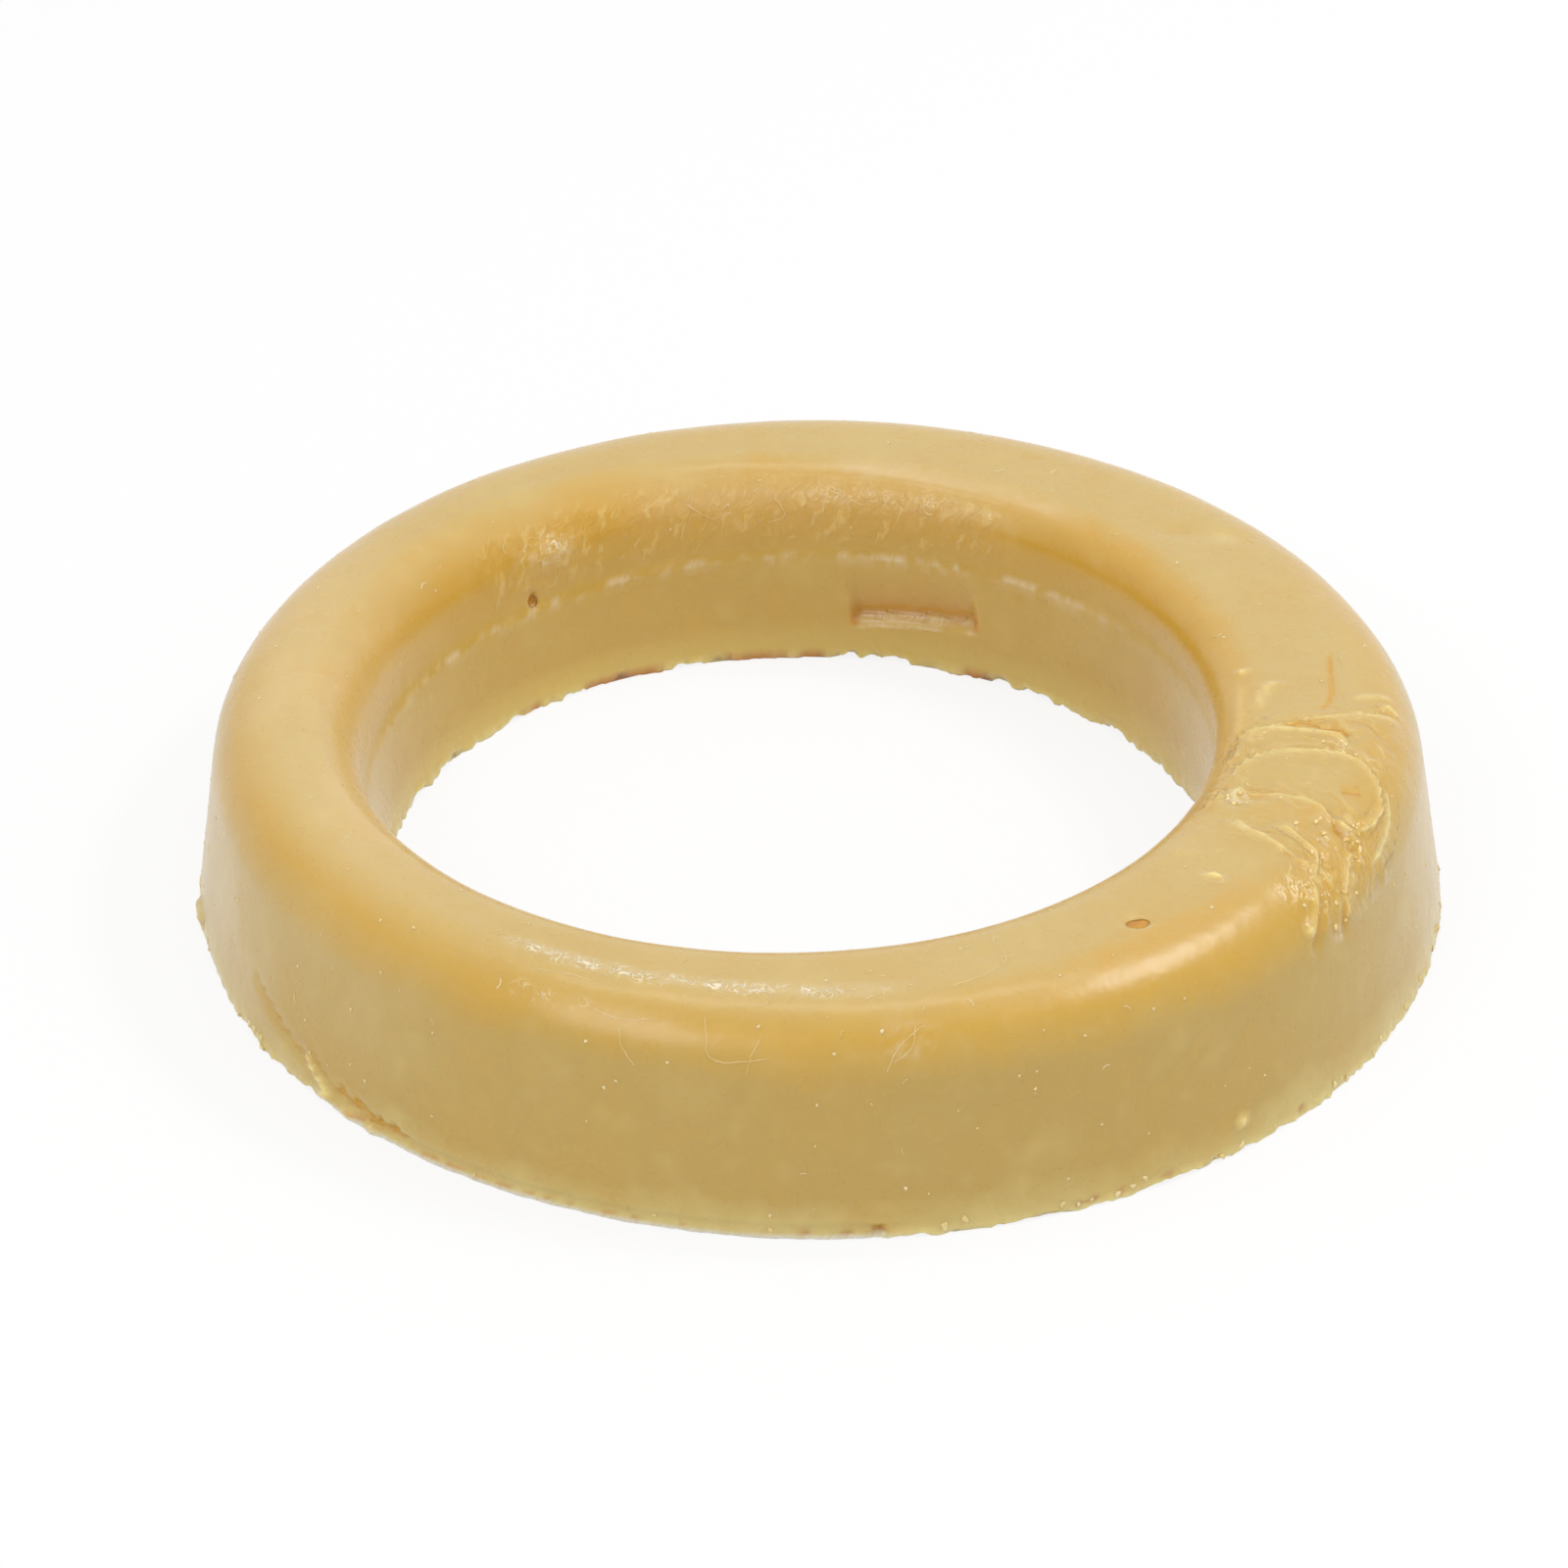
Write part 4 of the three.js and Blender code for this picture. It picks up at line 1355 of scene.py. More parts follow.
    def build(self, finish: bpy.types.Material) -> bpy.types.Object:
        """Makes the finished ring.

        Args:
            finish: The material of the wax.

        Returns:
            The ring, in metres, at the origin.
        """
        ring = RingSweep(self.section).build(finish)
        skin = Skin.read(self.section, ring.data)
        marks = (*self.TONGUES, *self.CREASES, *self.SPOTS, *self.torn_foot(), Pocket(), BaseEdges(), WearAndPaintedLight())
        for mark in marks:
            mark.press(skin)
        skin.place[:, 2] += self.ledge_slope(skin)
        skin.write(ring.data)
        keep_above_floor(ring.data)
        face_outward(ring.data)
        ring.data.shade_smooth()
        return ring

    def ledge_slope(self, skin: Skin) -> np.ndarray:
        """How far the ledge and the wall above it rise, because the core's end sloped up towards +X."""
        section = self.section
        into_hole = skin.across < -section.crown_width
        above = np.clip((section.height - skin.level) / (section.height - section.ledge_height), 0.0, 1.0)
        below = np.clip(skin.level / section.ledge_height, 0.0, 1.0)
        share = np.where(skin.level > section.ledge_height, above, below)
        slope = math.tan(math.radians(section.ledge_tilt))
        return np.where(into_hole, share * slope * skin.place[:, 0], 0.0)


def keep_above_floor(mesh: bpy.types.Mesh) -> None:
    """Presses flat whatever would reach below the floor."""
    points = read_points(mesh)
    points[:, 2] = np.maximum(points[:, 2], 0.0)
    mesh.vertices.foreach_set("co", points.ravel())


def face_outward(mesh: bpy.types.Mesh) -> None:
    """Turns a closed mesh so that its faces look outwards."""
    mesh.calc_loop_triangles()
    corners = np.empty(3 * len(mesh.loop_triangles), dtype=np.int32)
    mesh.loop_triangles.foreach_get("vertices", corners)
    a, b, c = read_points(mesh)[corners.reshape(-1, 3)].astype(np.float64).transpose(1, 0, 2)
    if float(np.einsum("ij,ij->i", a, np.cross(b, c)).sum()) < 0.0:
        mesh.flip_normals()


# Loose wax


@dataclass(frozen=True)
class Scatter:
    """Bits of wax that cling to the skin where a stain of the ring is strong."""

    name: str
    seed: int
    per_area: float
    least: float
    most: float
    flatness: float
    stretch: float

    def bit(self, graph: Graph) -> Value:
        """One bit of wax, of about unit size."""
        ball = graph.take("GeometryNodeMeshIcoSphere", None, {"Radius": 0.5, "Subdivisions": 2}, "Mesh")
        wander = graph.take("ShaderNodeTexNoise", None, {"Scale": 1.6, "Detail": 2.0}, "Color")
        bumps = graph.take("ShaderNodeVectorMath", {"operation": "SUBTRACT"}, {0: wander, 1: (0.5, 0.5, 0.5)})
        return graph.take("GeometryNodeSetPosition", None, {"Geometry": ball, "Offset": bumps})

    def build(self, ring: bpy.types.Object, mask: np.ndarray, finish: bpy.types.Material) -> bpy.types.Object:
        """Scatters the bits.

        Args:
            ring: The finished ring.
            mask: How densely they lie at each vertex of it, from 0 to 1.
            finish: Their material.

        Returns:
            The bits, as one plain mesh.
        """
        carrier = put_in_scene(self.name + "_carrier", ring.data.copy())
        write_column(carrier.data, "cover", np.clip(mask, 0.0, 1.0))
        recipe = GeometryRecipe(self.name + "_scatter")
        graph = recipe.graph
        density = recipe.given("Density", self.per_area / MM ** 2)
        least = recipe.given("Least", self.least * MM)
        most = recipe.given("Most", self.most * MM)
        flatness = recipe.given("Flatness", self.flatness)
        stretch = recipe.given("Stretch", self.stretch)
        seed = recipe.given("Seed", self.seed, "Int")
        material = recipe.given("Finish", finish, "Material")
        spread = graph.node("GeometryNodeDistributePointsOnFaces", {"distribute_method": "RANDOM"}, {
            "Mesh": recipe.geometry, "Density": density * recipe.attribute("cover"), "Seed": seed})
        size = graph.take("FunctionNodeRandomValue", {"data_type": "FLOAT"}, {
            "Min": least, "Max": most, "Seed": seed}, "Value")
        spin = graph.take("FunctionNodeRandomValue", {"data_type": "FLOAT"}, {
            "Min": 0.0, "Max": 2.0 * math.pi, "Seed": self.seed + 1}, "Value")
        turn = graph.take("FunctionNodeAxisAngleToRotation", None, {"Axis": (0.0, 0.0, 1.0), "Angle": spin})
        facing = graph.take("FunctionNodeRotateRotation", {"rotation_space": "LOCAL"}, {
            "Rotation": Value(graph, spread.outputs["Rotation"]), "Rotate By": turn})
        scale = graph.take("ShaderNodeCombineXYZ", None, {0: size * stretch, 1: size, 2: size * flatness})
        placed = graph.take("GeometryNodeInstanceOnPoints", None, {
            "Points": Value(graph, spread.outputs["Points"]), "Instance": self.bit(graph),
            "Rotation": facing, "Scale": scale})
        recipe.finish(placed, material)
        bits = recipe.run(carrier, self.name)
        keep_above_floor(bits.data)
        bits.data.shade_smooth()
        return bits


class Shavings(Scatter):
    """Thin curled fibres of wax that lie on the skin."""

    def bit(self, graph: Graph) -> Value:
        """One curled fibre, thickest in its middle."""
        bow = graph.take("GeometryNodeCurveArc", None, {
            "Resolution": 7, "Radius": 0.7, "Start Angle": 0.6, "Sweep Angle": 1.5}, "Curve")
        part = graph.take("GeometryNodeSplineParameter", None, None, "Factor")
        thick = (part * math.pi).math("SINE") + 0.12
        centred = graph.take("GeometryNodeSetPosition", None, {
            "Geometry": bow, "Offset": (-0.15, -0.62, 0.0)})
        tapered = graph.take("GeometryNodeSetCurveRadius", None, {"Curve": centred, "Radius": thick})
        ring = graph.take("GeometryNodeCurvePrimitiveCircle", None, {
            "Resolution": 4, "Radius": 0.07}, "Curve")
        return graph.take("GeometryNodeCurveToMesh", None, {
            "Curve": tapered, "Profile Curve": ring, "Fill Caps": True})


@dataclass(frozen=True)
class SkinPoints:
    """Finds places on the finished ring by angle and distance across."""

    angle: np.ndarray
    across: np.ndarray
    points: np.ndarray
    crown_radius: float

    NEIGHBOURS = 4
    LEAST_GAP = 1e-4

    @classmethod
    def read(cls, ring: bpy.types.Object, section: RingSection) -> "SkinPoints":
        """Reads where the places of the skin lie on a finished ring."""
        mesh = ring.data
        return cls(read_column(mesh, "angle"), read_column(mesh, "across"),
                   read_points(mesh).astype(np.float64), section.crown_radius)

    def place(self, angle: float, across: float) -> np.ndarray:
        """A place of the skin, in metres, between the vertices that are nearest to it."""
        gap = (self.angle - angle + HALF_TURN) % FULL_TURN - HALF_TURN
        far = (np.radians(gap) * self.crown_radius) ** 2 + (self.across - across) ** 2
        nearest = np.argpartition(far, self.NEIGHBOURS)[:self.NEIGHBOURS]
        weight = 1.0 / (far[nearest] + self.LEAST_GAP)
        return (self.points[nearest] * weight[:, None]).sum(axis=0) / weight.sum()


@dataclass(frozen=True)
class Threads:
    """Hair-thin strings of wax laid along the skin."""

    section: RingSection
    thickness: float = 0.08

    LINES: tuple[Points, ...] = (
        ((251.8, 9.6), (252.2, 11.6), (253.6, 13.4)),
        ((259.5, 7.2), (260.0, 9.4), (260.2, 11.2), (261.8, 11.9), (265.8, 11.2)),
        ((276.4, 12.6), (277.4, 10.4), (279.0, 8.8), (280.2, 8.0)),
        ((277.0, 11.8), (278.8, 10.2), (279.4, 8.0)),
        ((284.0, 3.4), (288.0, 2.2), (292.0, 0.4), (294.6, -2.6)),
        ((265.0, 9.0), (264.2, 11.0), (263.8, 13.0)),
        ((249.0, 8.4), (252.0, 8.8), (254.6, 8.2)),
        ((242.0, 5.6), (245.0, 5.0), (248.0, 5.2)),
        ((104.0, -9.0), (101.0, -10.8), (98.0, -10.4)),
        ((92.0, -8.4), (90.5, -11.0), (93.0, -12.0)),
        ((84.0, -8.0), (80.0, -9.4), (77.5, -8.8)),
    )

    def build(self, skin_points: SkinPoints, finish: bpy.types.Material) -> bpy.types.Object:
        """Lays the threads.

        Args:
            skin_points: Finds places on the finished ring.
            finish: Their material.

        Returns:
            The threads, as one plain mesh.
        """
        corners: list[tuple[float, float, float]] = []
        edges: list[tuple[int, int]] = []
        for points in self.LINES:
            wrapped = tuple(((a + HALF_TURN) % FULL_TURN - HALF_TURN, c) for a, c in points)
            drawn = SkinLine(wrapped, chords=6).drawn(self.section)
            first = len(corners)
            for arc, across in drawn:
                angle = math.degrees(arc / self.section.crown_radius)
                corners.append(tuple(skin_points.place(angle, across)))
            edges.extend((i, i + 1) for i in range(first, len(corners) - 1))
        mesh = bpy.data.meshes.new("thread_paths")
        mesh.from_pydata(corners, edges, [])
        carrier = put_in_scene("thread_paths", mesh)
        recipe = GeometryRecipe("wax_thread_paths")
        graph = recipe.graph
        thickness = recipe.given("Thickness", self.thickness * MM)
        material = recipe.given("Finish", finish, "Material")
        path = graph.take("GeometryNodeMeshToCurve", None, {0: recipe.geometry})
        part = graph.take("GeometryNodeSplineParameter", None, None, "Factor")
        thick = (part * math.pi).math("SINE") * 0.8 + 0.2
        tapered = graph.take("GeometryNodeSetCurveRadius", None, {"Curve": path, "Radius": thick})
        ring = graph.take("GeometryNodeCurvePrimitiveCircle", None, {
            "Resolution": 6, "Radius": thickness * 0.5}, "Curve")
        tube = graph.take("GeometryNodeCurveToMesh", None, {
            "Curve": tapered, "Profile Curve": ring, "Fill Caps": True})
        recipe.finish(tube, material)
        threads = recipe.run(carrier, "wax_threads")
        threads.data.shade_smooth()
        return threads


# Finishes


@dataclass(frozen=True)
class WaxFinish:
    """Soft amber petroleum wax: mottled, slightly clear, with a glossy skin, and painted shade, highlights,
    glints and sheen in its colour.
    """

    name: str = "amber_wax"
    lowest: float = -31.0
    span: float = 63.0
    roughness: float = 0.28
    clearness: float = 0.5
    bloom: float = 0.3
    depth: float = 2.6
    arc_per_degree: float = 0.984
    # Several colours below also stand for light: painted shade in grooves and hollows, painted highlights and
    # glints, and painted sheen on the side walls.
    amber_and_shade: tuple = linear(212, 158, 38)
    painted_shade: tuple = linear(186, 118, 48)
    pit: tuple = linear(208, 152, 46)
    scrawl_and_glint: tuple = linear(248, 238, 208)
    wan: tuple = linear(224, 196, 138)
    frost_and_glint: tuple = linear(236, 224, 206)
    honey: tuple = linear(212, 164, 66)
    pale_and_highlight: tuple = linear(234, 212, 144)
    film_and_sheen: tuple = linear(236, 219, 190)
    crown: tuple = linear(204, 175, 108)
    shoulder: tuple = linear(202, 162, 66)
    wall: tuple = linear(190, 160, 86)
    foot: tuple = linear(206, 185, 116)
    rim: tuple = linear(204, 160, 58)
    core: tuple = linear(198, 165, 82)
    hole_edge: tuple = linear(214, 190, 108)

    REFRACTION = 1.47
    BLOOM_ROUGHNESS = 0.3
    SCATTERING = (1.0, 0.75, 0.3)
    CLOUD_SIZE = 13.0
    BLOTCH_SIZE = 3.4
    SPECK_SIZE = 1.1
    SQUIGGLE_SIZE = 1.8
    PITS = ((-52.8, 1.1, 1.2, 0.62, -1.0), (129.0, -15.3, 0.75, 0.68, 1.0))

    def build(self) -> bpy.types.Material:
        """Makes the material."""
        material, graph = new_material(self.name)
        at = graph.object_place()
        across = self.skin_value(graph, "across")
        arc = self.skin_value(graph, "angle") * self.arc_per_degree
        amber_and_shade = self.skin_value(graph, "amber_and_shade")
        pale_and_highlight = self.skin_value(graph, "pale_and_highlight")
        film_and_sheen = self.skin_value(graph, "film_and_sheen")
        worked = self.skin_value(graph, "worked")
        clouds = graph.noise(at, self.CLOUD_SIZE)
        blotch = graph.noise(at, self.BLOTCH_SIZE)
        speck = graph.noise(at, self.SPECK_SIZE, 1.0)
        crumple = self.crumple(graph, arc, across)
        fibre = self.fibres(graph, arc, across)
        strokes, edge_highlight_line = self.strokes(graph, arc, across)
        seam = self.crease_shade_line(graph)
        pits, shade = self.pits(graph, arc, across)
        squiggle = (graph.noise(at, self.SQUIGGLE_SIZE, 2.0, 2.0) - 0.5).math("ABSOLUTE").rise(0.06, 0.02)
        scribble_and_glint = self.skin_value(graph, "scribble_and_glint") * squiggle * blotch.rise(0.4, 0.52)

        zone = (across + (clouds - 0.5) * 4.0 + (blotch - 0.5) * 2.0 - self.lowest) / self.span
        stops = [((place - self.lowest) / self.span, colour) for place, colour in self.zones()]
        base = graph.take("ShaderNodeValToRGB", {"stops": stops}, {"Fac": zone})
        # Each layer is laid over the ones before it: how far it covers them, and its colour.
        layers = (
            (self.skin_value(graph, "wan") * (clouds.rise(0.66, 0.36) * 0.6 + 0.4), self.wan),
            (blotch.rise(0.5, 0.8) * 0.1 + clouds.rise(0.45, 0.75) * 0.08, self.pale_and_highlight),
            (clouds.rise(0.55, 0.3) * 0.12 + blotch.rise(0.46, 0.24) * 0.14
             + worked * speck.rise(0.5, 0.3) * 0.35, self.honey),
            # Pale wax, with painted highlights along each smear's free edge and on ridges and bumps.
            (pale_and_highlight * (speck.rise(0.3, 0.55) * 0.5 + 0.4) + edge_highlight_line * 0.6, self.pale_and_highlight),
            # Amber: the wax's deeper colour, with painted shade in the hollows; the next layer adds painted
            # shade down the bottom of each groove.
            (amber_and_shade * 0.6, self.honey),
            ((amber_and_shade - 0.35) * 0.5 + seam * 0.6, self.amber_and_shade),
            (worked * crumple.rise(0.54, 0.66) * 0.45, self.pale_and_highlight),
            (pale_and_highlight.rise(0.55, 0.95) * 0.8, self.pale_and_highlight),
            # Film, and painted sheen on the side walls.
            (film_and_sheen * (fibre.rise(0.35, 0.75) * 0.2 + 0.5), self.film_and_sheen),
            (pits, self.pit),
            # Painted shade: the low slivers and nicks of the base edges, the pocket's scoop and ends, the
            # seam over the flash and one side of each pit.
            (self.skin_value(graph, "painted_shade") * 0.9 + shade * 0.5, self.painted_shade),
            # Pale flecks and flash, and painted highlights and glints on the ledge, the pocket's shelf and
            # the torn wax.
            (self.skin_value(graph, "frost_and_glint") * (fibre.rise(0.4, 0.6) * 0.4 + 0.6), self.frost_and_glint),
            # Scribbles of pale wax, and a painted glint on the far rim.
            (scribble_and_glint, self.scrawl_and_glint),
        )
        for cover, colour in layers:
            base = graph.mix(cover, base, colour)

        gloss = (self.roughness + (blotch - 0.5) * 0.12 + film_and_sheen * 0.06 - worked * 0.13
                 + self.skin_value(graph, "dull") * 0.3)
        relief = (blotch * 0.12 + speck * 0.006
                  + worked * (speck * 0.16 + crumple * 0.5) + strokes * 0.22 + edge_highlight_line * 0.06
                  + scribble_and_glint * 0.1 - seam * 0.1 - pits * 0.3)
        bump = graph.take("ShaderNodeBump", None, {"Strength": 1.0, "Distance": MM, "Height": relief})
        shader = graph.node("ShaderNodeBsdfPrincipled", {"subsurface_method": "RANDOM_WALK"}, {
            "Base Color": base, "Roughness": gloss, "Normal": bump, "IOR": self.REFRACTION,
            "Subsurface Weight": self.clearness, "Subsurface Radius": self.SCATTERING,
            "Subsurface Scale": self.depth * MM,
            "Sheen Weight": self.bloom, "Sheen Roughness": self.BLOOM_ROUGHNESS})
        graph.node("ShaderNodeOutputMaterial", None, {"Surface": Value(graph, shader.outputs[0])})
        return material

    def zones(self) -> list[tuple[float, tuple]]:
        """The wax's own colour across the skin, from the hole's base edge to the outer one."""
        return [
            (-30.0, self.hole_edge),
            (-25.0, self.core),
            (-17.0, self.core),
            (-9.5, self.rim),
            (-3.5, self.crown),
            (3.5, self.crown),
            (9.0, self.shoulder),
            (14.0, self.wall),
            (27.0, self.wall),
            (31.5, self.foot),
        ]

    @staticmethod
    def skin_value(graph: Graph, name: str) -> Value:
        """A number kept on the skin."""
        return graph.take("ShaderNodeAttribute", {"attribute_name": name}, None, "Fac")

    @staticmethod
    def skin_noise(graph: Graph, arc: Value, across: Value, layer: float, detail: float = 2.0) -> Value:
        """Noise read on the unrolled skin, with its two coordinates already scaled."""
        spot = graph.take("ShaderNodeCombineXYZ", None, {0: arc, 1: across, 2: layer})
        return graph.take("ShaderNodeTexNoise", None, {"Vector": spot, "Scale": 1.0, "Detail": detail})

    def fibres(self, graph: Graph, arc: Value, across: Value) -> Value:
        """Combed texture that runs down into the hole, with a slight slant."""
        bend = self.skin_noise(graph, arc * 0.35, across * 0.35, 3.0, 1.0)
        return self.skin_noise(graph, (arc + across * 0.5 + bend * 2.0) * 2.3, across * 0.5, 5.0, 2.0)

    def crumple(self, graph: Graph, arc: Value, across: Value) -> Value:
        """Short slanting folds, as soft wax gets where it is pushed."""
        bend = self.skin_noise(graph, arc * 0.5, across * 0.5, 13.0, 1.0)
        slant = (arc + across * 0.7) * 0.9 + bend * 3.0
        return self.skin_noise(graph, slant, across * 0.35 + bend, 15.0, 3.0)

    def strokes(self, graph: Graph, arc: Value, across: Value) -> tuple[Value, Value]:
        """Fine strokes that follow the free edge of a smear, and a painted highlight line on the edge itself.
        """
        lip = self.skin_value(graph, "lip")
        fade = self.skin_value(graph, "lip_fade")
        bend = self.skin_noise(graph, arc * 0.4, across * 0.4, 9.0, 1.0)
        beside = (lip.math("ABSOLUTE") + bend * 2.0) * 1.9
        strokes = self.skin_noise(graph, beside, (arc + across) * 0.25, 7.0)
        line = lip.rise(-0.06, 0.08) * lip.rise(0.4, 0.14) * fade
        return (strokes - 0.5) * fade, line

    def crease_shade_line(self, graph: Graph) -> Value:
        """Painted shade along the bottom of each groove."""
        seam = self.skin_value(graph, "seam").math("ABSOLUTE")
        return seam.rise(0.28, 0.04) * self.skin_value(graph, "crease_shade_strength").rise(0.15, 0.75)

    def pits(self, graph: Graph, arc: Value, across: Value) -> tuple[Value, Value]:
        """Round bubbles that burst at the skin, and a painted shade on one side of each."""
        total = graph.wrap(0.0)
        shade = graph.wrap(0.0)
        for angle, place, half_length, half_width, shaded_side in self.PITS:
            run = (arc - angle * self.arc_per_degree) / half_length
            off = (across - place) / half_width
            inside = (run * run + off * off).rise(1.15, 0.75)
            total = total + inside
            shade = shade + inside * (off * shaded_side).rise(-0.2, 0.7)
        return total, shade


@dataclass(frozen=True)
class CrumbFinish:
    """Torn bits of the same wax, paler and rougher where they are thin."""

    name: str
    body: tuple
    shade: tuple
    roughness: float

    PATCH_SIZE = 1.4
    GRAIN_SIZE = 0.3
    GRAIN_HEIGHT = 0.05

    def build(self) -> bpy.types.Material:
        """Makes the material."""
        material, graph = new_material(self.name)
        at = graph.object_place()
        patch = graph.noise(at, self.PATCH_SIZE)
        colour = graph.mix(patch.rise(0.35, 0.65), self.body, self.shade)
        bump = graph.take("ShaderNodeBump", None, {
            "Strength": 0.5, "Distance": MM,
            "Height": graph.noise(at, self.GRAIN_SIZE) * self.GRAIN_HEIGHT})
        shader = graph.node("ShaderNodeBsdfPrincipled", None, {
            "Base Color": colour, "Roughness": self.roughness + (patch - 0.5) * 0.2, "Normal": bump,
            "IOR": WaxFinish.REFRACTION})
        graph.node("ShaderNodeOutputMaterial", None, {"Surface": Value(graph, shader.outputs[0])})
        return material


# What lies on the ring


@dataclass(frozen=True)
class LooseWax:
    """The wax that lies loose on the ring: its kinds, where each lies and how it looks."""

    spots: SkinPoints

    TORN = CrumbFinish("torn_wax", linear(236, 218, 166), linear(226, 198, 128), 0.3)
    WET = CrumbFinish("wet_wax", linear(238, 214, 148), linear(226, 188, 106), 0.06)
    FIBRE = CrumbFinish("wax_fibre", linear(236, 216, 164), linear(224, 196, 132), 0.35)
    FOOT_CRUMBS = Scatter("foot_crumbs", seed=7, per_area=0.22, least=0.25, most=0.8,
                          flatness=0.45, stretch=1.6)
    SMEAR_CRUMBS = Scatter("smear_crumbs", seed=19, per_area=1.1, least=0.2, most=0.6,
                           flatness=0.5, stretch=1.4)
    SPECKS = Scatter("wax_specks", seed=23, per_area=0.012, least=0.18, most=0.42,
                     flatness=0.5, stretch=1.3)
    SHAVINGS = Shavings("wax_shavings", seed=29, per_area=0.5, least=0.5, most=1.3,
                        flatness=1.0, stretch=1.0)
    FOOT_ACROSS = 31.4
    FOOT_FADE = (0.3, 1.0)
    FLASH = (-146.0, -84.0, 6.0)
    SWEPT = 0.7
    OPEN_SKIN = (-13.0, 30.0, 3.0)
    DRAGGED = (-122.0, -84.0, 8.0)
    DRAGGED_ACROSS = 2.8
    DRAGGED_WIDTH = 1.0
    STRAY = 0.008

    def on_foot(self) -> np.ndarray:
        """How densely crumbs lie along the outer edge of the base: less where the flash is."""
        foot = 1.0 - smoothstep(np.abs(self.spots.across - self.FOOT_ACROSS), *self.FOOT_FADE)
        return foot * (1.0 - self.SWEPT * window(self.spots.angle, *self.FLASH))

    def on_open_skin(self) -> np.ndarray:
        """How densely specks lie on the crown and the walls."""
        return window(self.spots.across, *self.OPEN_SKIN)

    def where_dragged(self) -> np.ndarray:
        """How densely shavings lie: most on the near crown, and a stray few on the open skin."""
        dragged = window(self.spots.angle, *self.DRAGGED)
        dragged = dragged * bell(self.spots.across, self.DRAGGED_ACROSS, self.DRAGGED_WIDTH)
        return np.maximum(dragged, self.STRAY * self.on_open_skin())

    def build(self, ring: bpy.types.Object, section: RingSection) -> list[bpy.types.Object]:
        """Lays every kind of loose wax on the finished ring.

        Args:
            ring: The finished ring.
            section: Its section.

        Returns:
            The pieces, in the order in which they are made.
        """
        torn, wet, fibre = self.TORN.build(), self.WET.build(), self.FIBRE.build()
        in_tears = torn_cover(self.spots.angle, self.spots.across, self.spots.crown_radius)
        return [
            self.FOOT_CRUMBS.build(ring, self.on_foot(), torn),
            self.SMEAR_CRUMBS.build(ring, in_tears, wet),
            self.SPECKS.build(ring, self.on_open_skin(), fibre),
            self.SHAVINGS.build(ring, self.where_dragged(), fibre),
            Threads(section).build(self.spots, fibre),
        ]


# Studio


@dataclass(frozen=True)
class Softbox:
    """A lamp that looks at the ring, and may be wider than it is high."""

    name: str
    bearing: float
    height: float
    distance: float
    size: float
    power: float
    width: float = 1.0
    mirrored: bool = True

    def build(self) -> None:
        """Hangs the lamp."""
        lamp = bpy.data.lights.new(self.name, "AREA")
        lamp.shape = "RECTANGLE"
        lamp.size = self.size * self.width
        lamp.size_y = self.size
        lamp.energy = self.power
        holder = put_in_scene(self.name, lamp)
        turn = math.radians(self.bearing)
        lift = math.radians(self.height)
        towards = Vector((math.cos(turn) * math.cos(lift), math.sin(turn) * math.cos(lift), math.sin(lift)))
        place = towards * self.distance
        holder.location = place
        holder.rotation_euler = (-place).to_track_quat("-Z", "Y").to_euler()
        holder.visible_glossy = self.mirrored


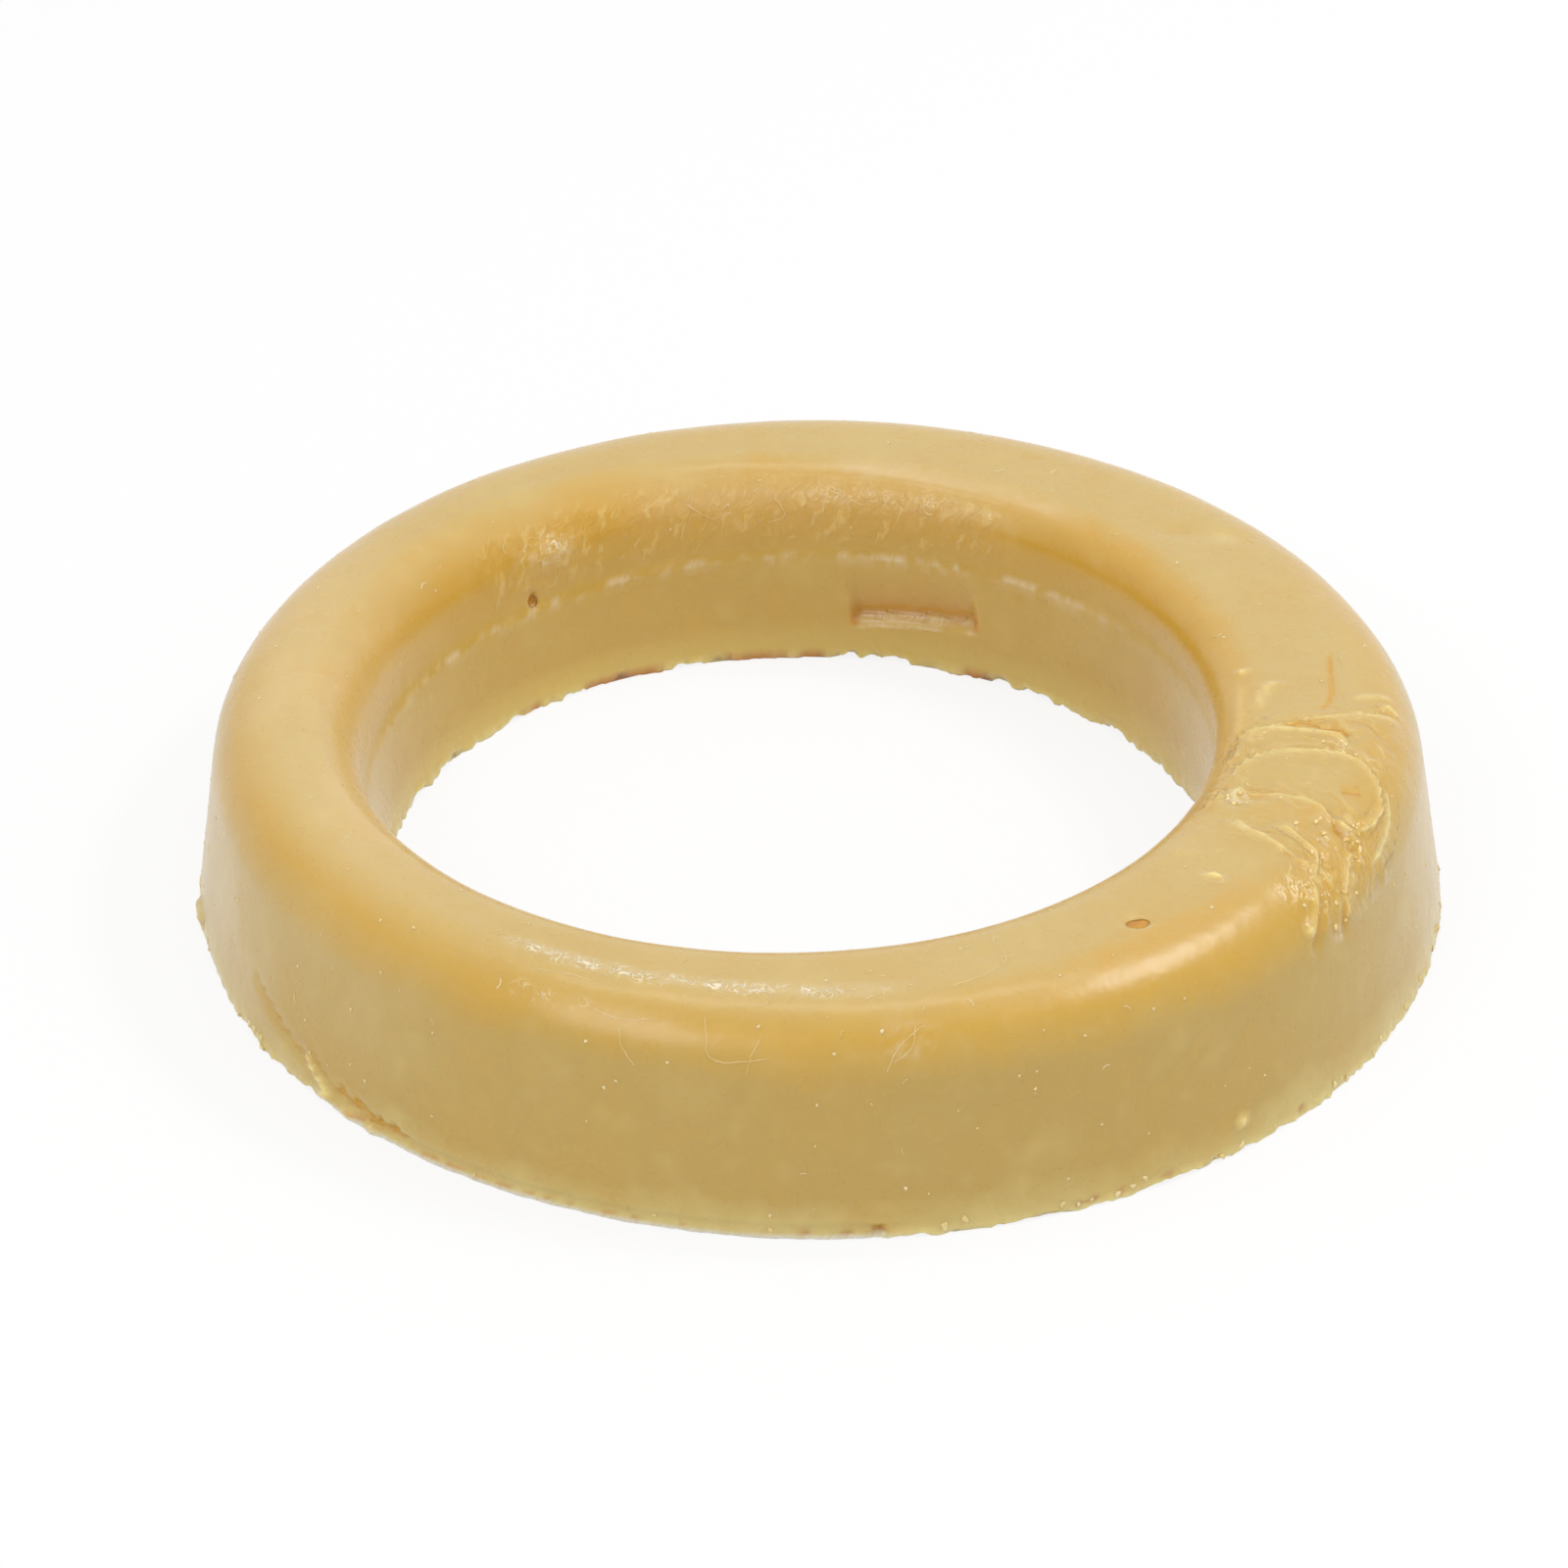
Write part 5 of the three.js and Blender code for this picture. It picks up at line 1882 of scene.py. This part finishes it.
@dataclass(frozen=True)
class Studio:
    """Pale floor, soft lamps and the camera of the photograph."""

    floor_half: float = 3.0
    world_light: float = 0.6
    glow: float = 0.84
    elevation: float = 33.175
    distance_mm: float = 833.2
    pixels_per_mm: float = 9.021
    frame_pixels: float = 1600.0
    sensor_mm: float = 36.0
    centre_x: float = 837.63
    centre_y: float = 893.91
    roll: float = -0.296
    nearest_seen: float = 0.01
    farthest_seen: float = 50.0

    WHITE = (1.0, 1.0, 1.0, 1.0)
    PAINT = (0.9, 0.9, 0.9, 1.0)
    LAMPS = (
        Softbox("key_softbox", 12.0, 57.0, 0.83, 0.17, 1.95, width=1.9),
        Softbox("top_strip", 92.0, 74.0, 0.9, 0.1, 1.0, width=6.0),
        Softbox("left_softbox", 236.0, 47.5, 0.85, 0.34, 1.3),
        Softbox("front_card", 270.0, 17.0, 1.0, 0.8, 0.6, mirrored=False),
        Softbox("left_card", 199.0, 13.0, 1.0, 0.8, 0.95, mirrored=False),
        Softbox("right_card", 336.0, 13.0, 1.0, 0.8, 0.65, mirrored=False),
    )

    def white_for_eyes(self, graph: Graph) -> Value:
        """1 for what the camera sees straight, mirrored or through something, else 0."""
        path = graph.node("ShaderNodeLightPath")
        seen = Value(graph, path.outputs["Is Camera Ray"]) + Value(graph, path.outputs["Is Glossy Ray"])
        return (seen + Value(graph, path.outputs["Is Transmission Ray"])).clamped()

    def build_floor(self) -> None:
        """Lays the floor, which glows a little for the camera but keeps the shadow."""
        half = self.floor_half
        mesh = bpy.data.meshes.new("studio_floor")
        mesh.from_pydata([(-half, -half, 0.0), (half, -half, 0.0), (half, half, 0.0), (-half, half, 0.0)],
                         [], [(0, 1, 2, 3)])
        floor = put_in_scene("studio_floor", mesh)
        material, graph = new_material("studio_floor_white")
        matte = graph.take("ShaderNodeBsdfDiffuse", None, {"Color": self.PAINT})
        glow = graph.take("ShaderNodeEmission", None, {"Color": self.WHITE, "Strength": 1.0})
        share = self.white_for_eyes(graph) * self.glow
        mixed = graph.take("ShaderNodeMixShader", None, {0: share, 1: matte, 2: glow})
        graph.node("ShaderNodeOutputMaterial", None, {"Surface": mixed})
        mesh.materials.append(material)

    def build_world(self) -> None:
        """A white room: full white to the eye, softer as light."""
        world = bpy.data.worlds.new("studio_white")
        bpy.context.scene.world = world
        world.use_nodes = True
        graph = Graph(world.node_tree)
        world.node_tree.nodes.clear()
        strength = self.white_for_eyes(graph) * (1.0 - self.world_light) + self.world_light
        sky = graph.take("ShaderNodeBackground", None, {"Color": self.WHITE, "Strength": strength})
        graph.node("ShaderNodeOutputWorld", None, {"Surface": sky})

    def build_camera(self) -> None:
        """Stands the camera where the photograph was taken."""
        tip = math.radians(self.elevation)
        place = Vector((0.0, -math.cos(tip), math.sin(tip))) * self.distance_mm * MM
        focal_pixels = self.pixels_per_mm * self.distance_mm
        data = bpy.data.cameras.new("photo_camera")
        data.sensor_width = self.sensor_mm
        data.lens = focal_pixels / self.frame_pixels * self.sensor_mm
        data.clip_start = self.nearest_seen
        data.clip_end = self.farthest_seen
        camera = put_in_scene("photo_camera", data)
        look = (-place).to_track_quat("-Z", "Y").to_matrix()
        middle = self.frame_pixels / 2.0
        pan = math.atan((self.centre_x - middle) / focal_pixels)
        nod = math.atan((self.centre_y - middle) / focal_pixels)
        turned = (look @ Matrix.Rotation(pan, 3, "Y") @ Matrix.Rotation(nod, 3, "X")
                  @ Matrix.Rotation(math.radians(-self.roll), 3, "Z"))
        camera.matrix_world = Matrix.Translation(place) @ turned.to_4x4()
        bpy.context.scene.camera = camera

    def build(self) -> None:
        """Sets up the whole studio."""
        bpy.context.scene.view_settings.view_transform = "Standard"
        self.build_floor()
        self.build_world()
        self.build_camera()
        for lamp in self.LAMPS:
            lamp.build()


def seat(piece: bpy.types.Object) -> None:
    """Makes a piece part of the ring's body, and reports it."""
    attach(piece, BODY)
    LOG.info("%s: %d faces", piece.name, len(piece.data.polygons))


def main() -> None:
    """Loads the frame, builds the ring with its loose wax and the studio, and reports each piece."""
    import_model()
    logging.basicConfig(level=logging.INFO, format="%(name)s %(message)s")
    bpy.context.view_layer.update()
    Studio().build()
    seal = WaxRing()
    ring = seal.build(WaxFinish().build())
    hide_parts(NODE)
    seat(ring)
    for piece in LooseWax(SkinPoints.read(ring, seal.section)).build(ring, seal.section):
        seat(piece)


if __name__ == "__main__":
    main()
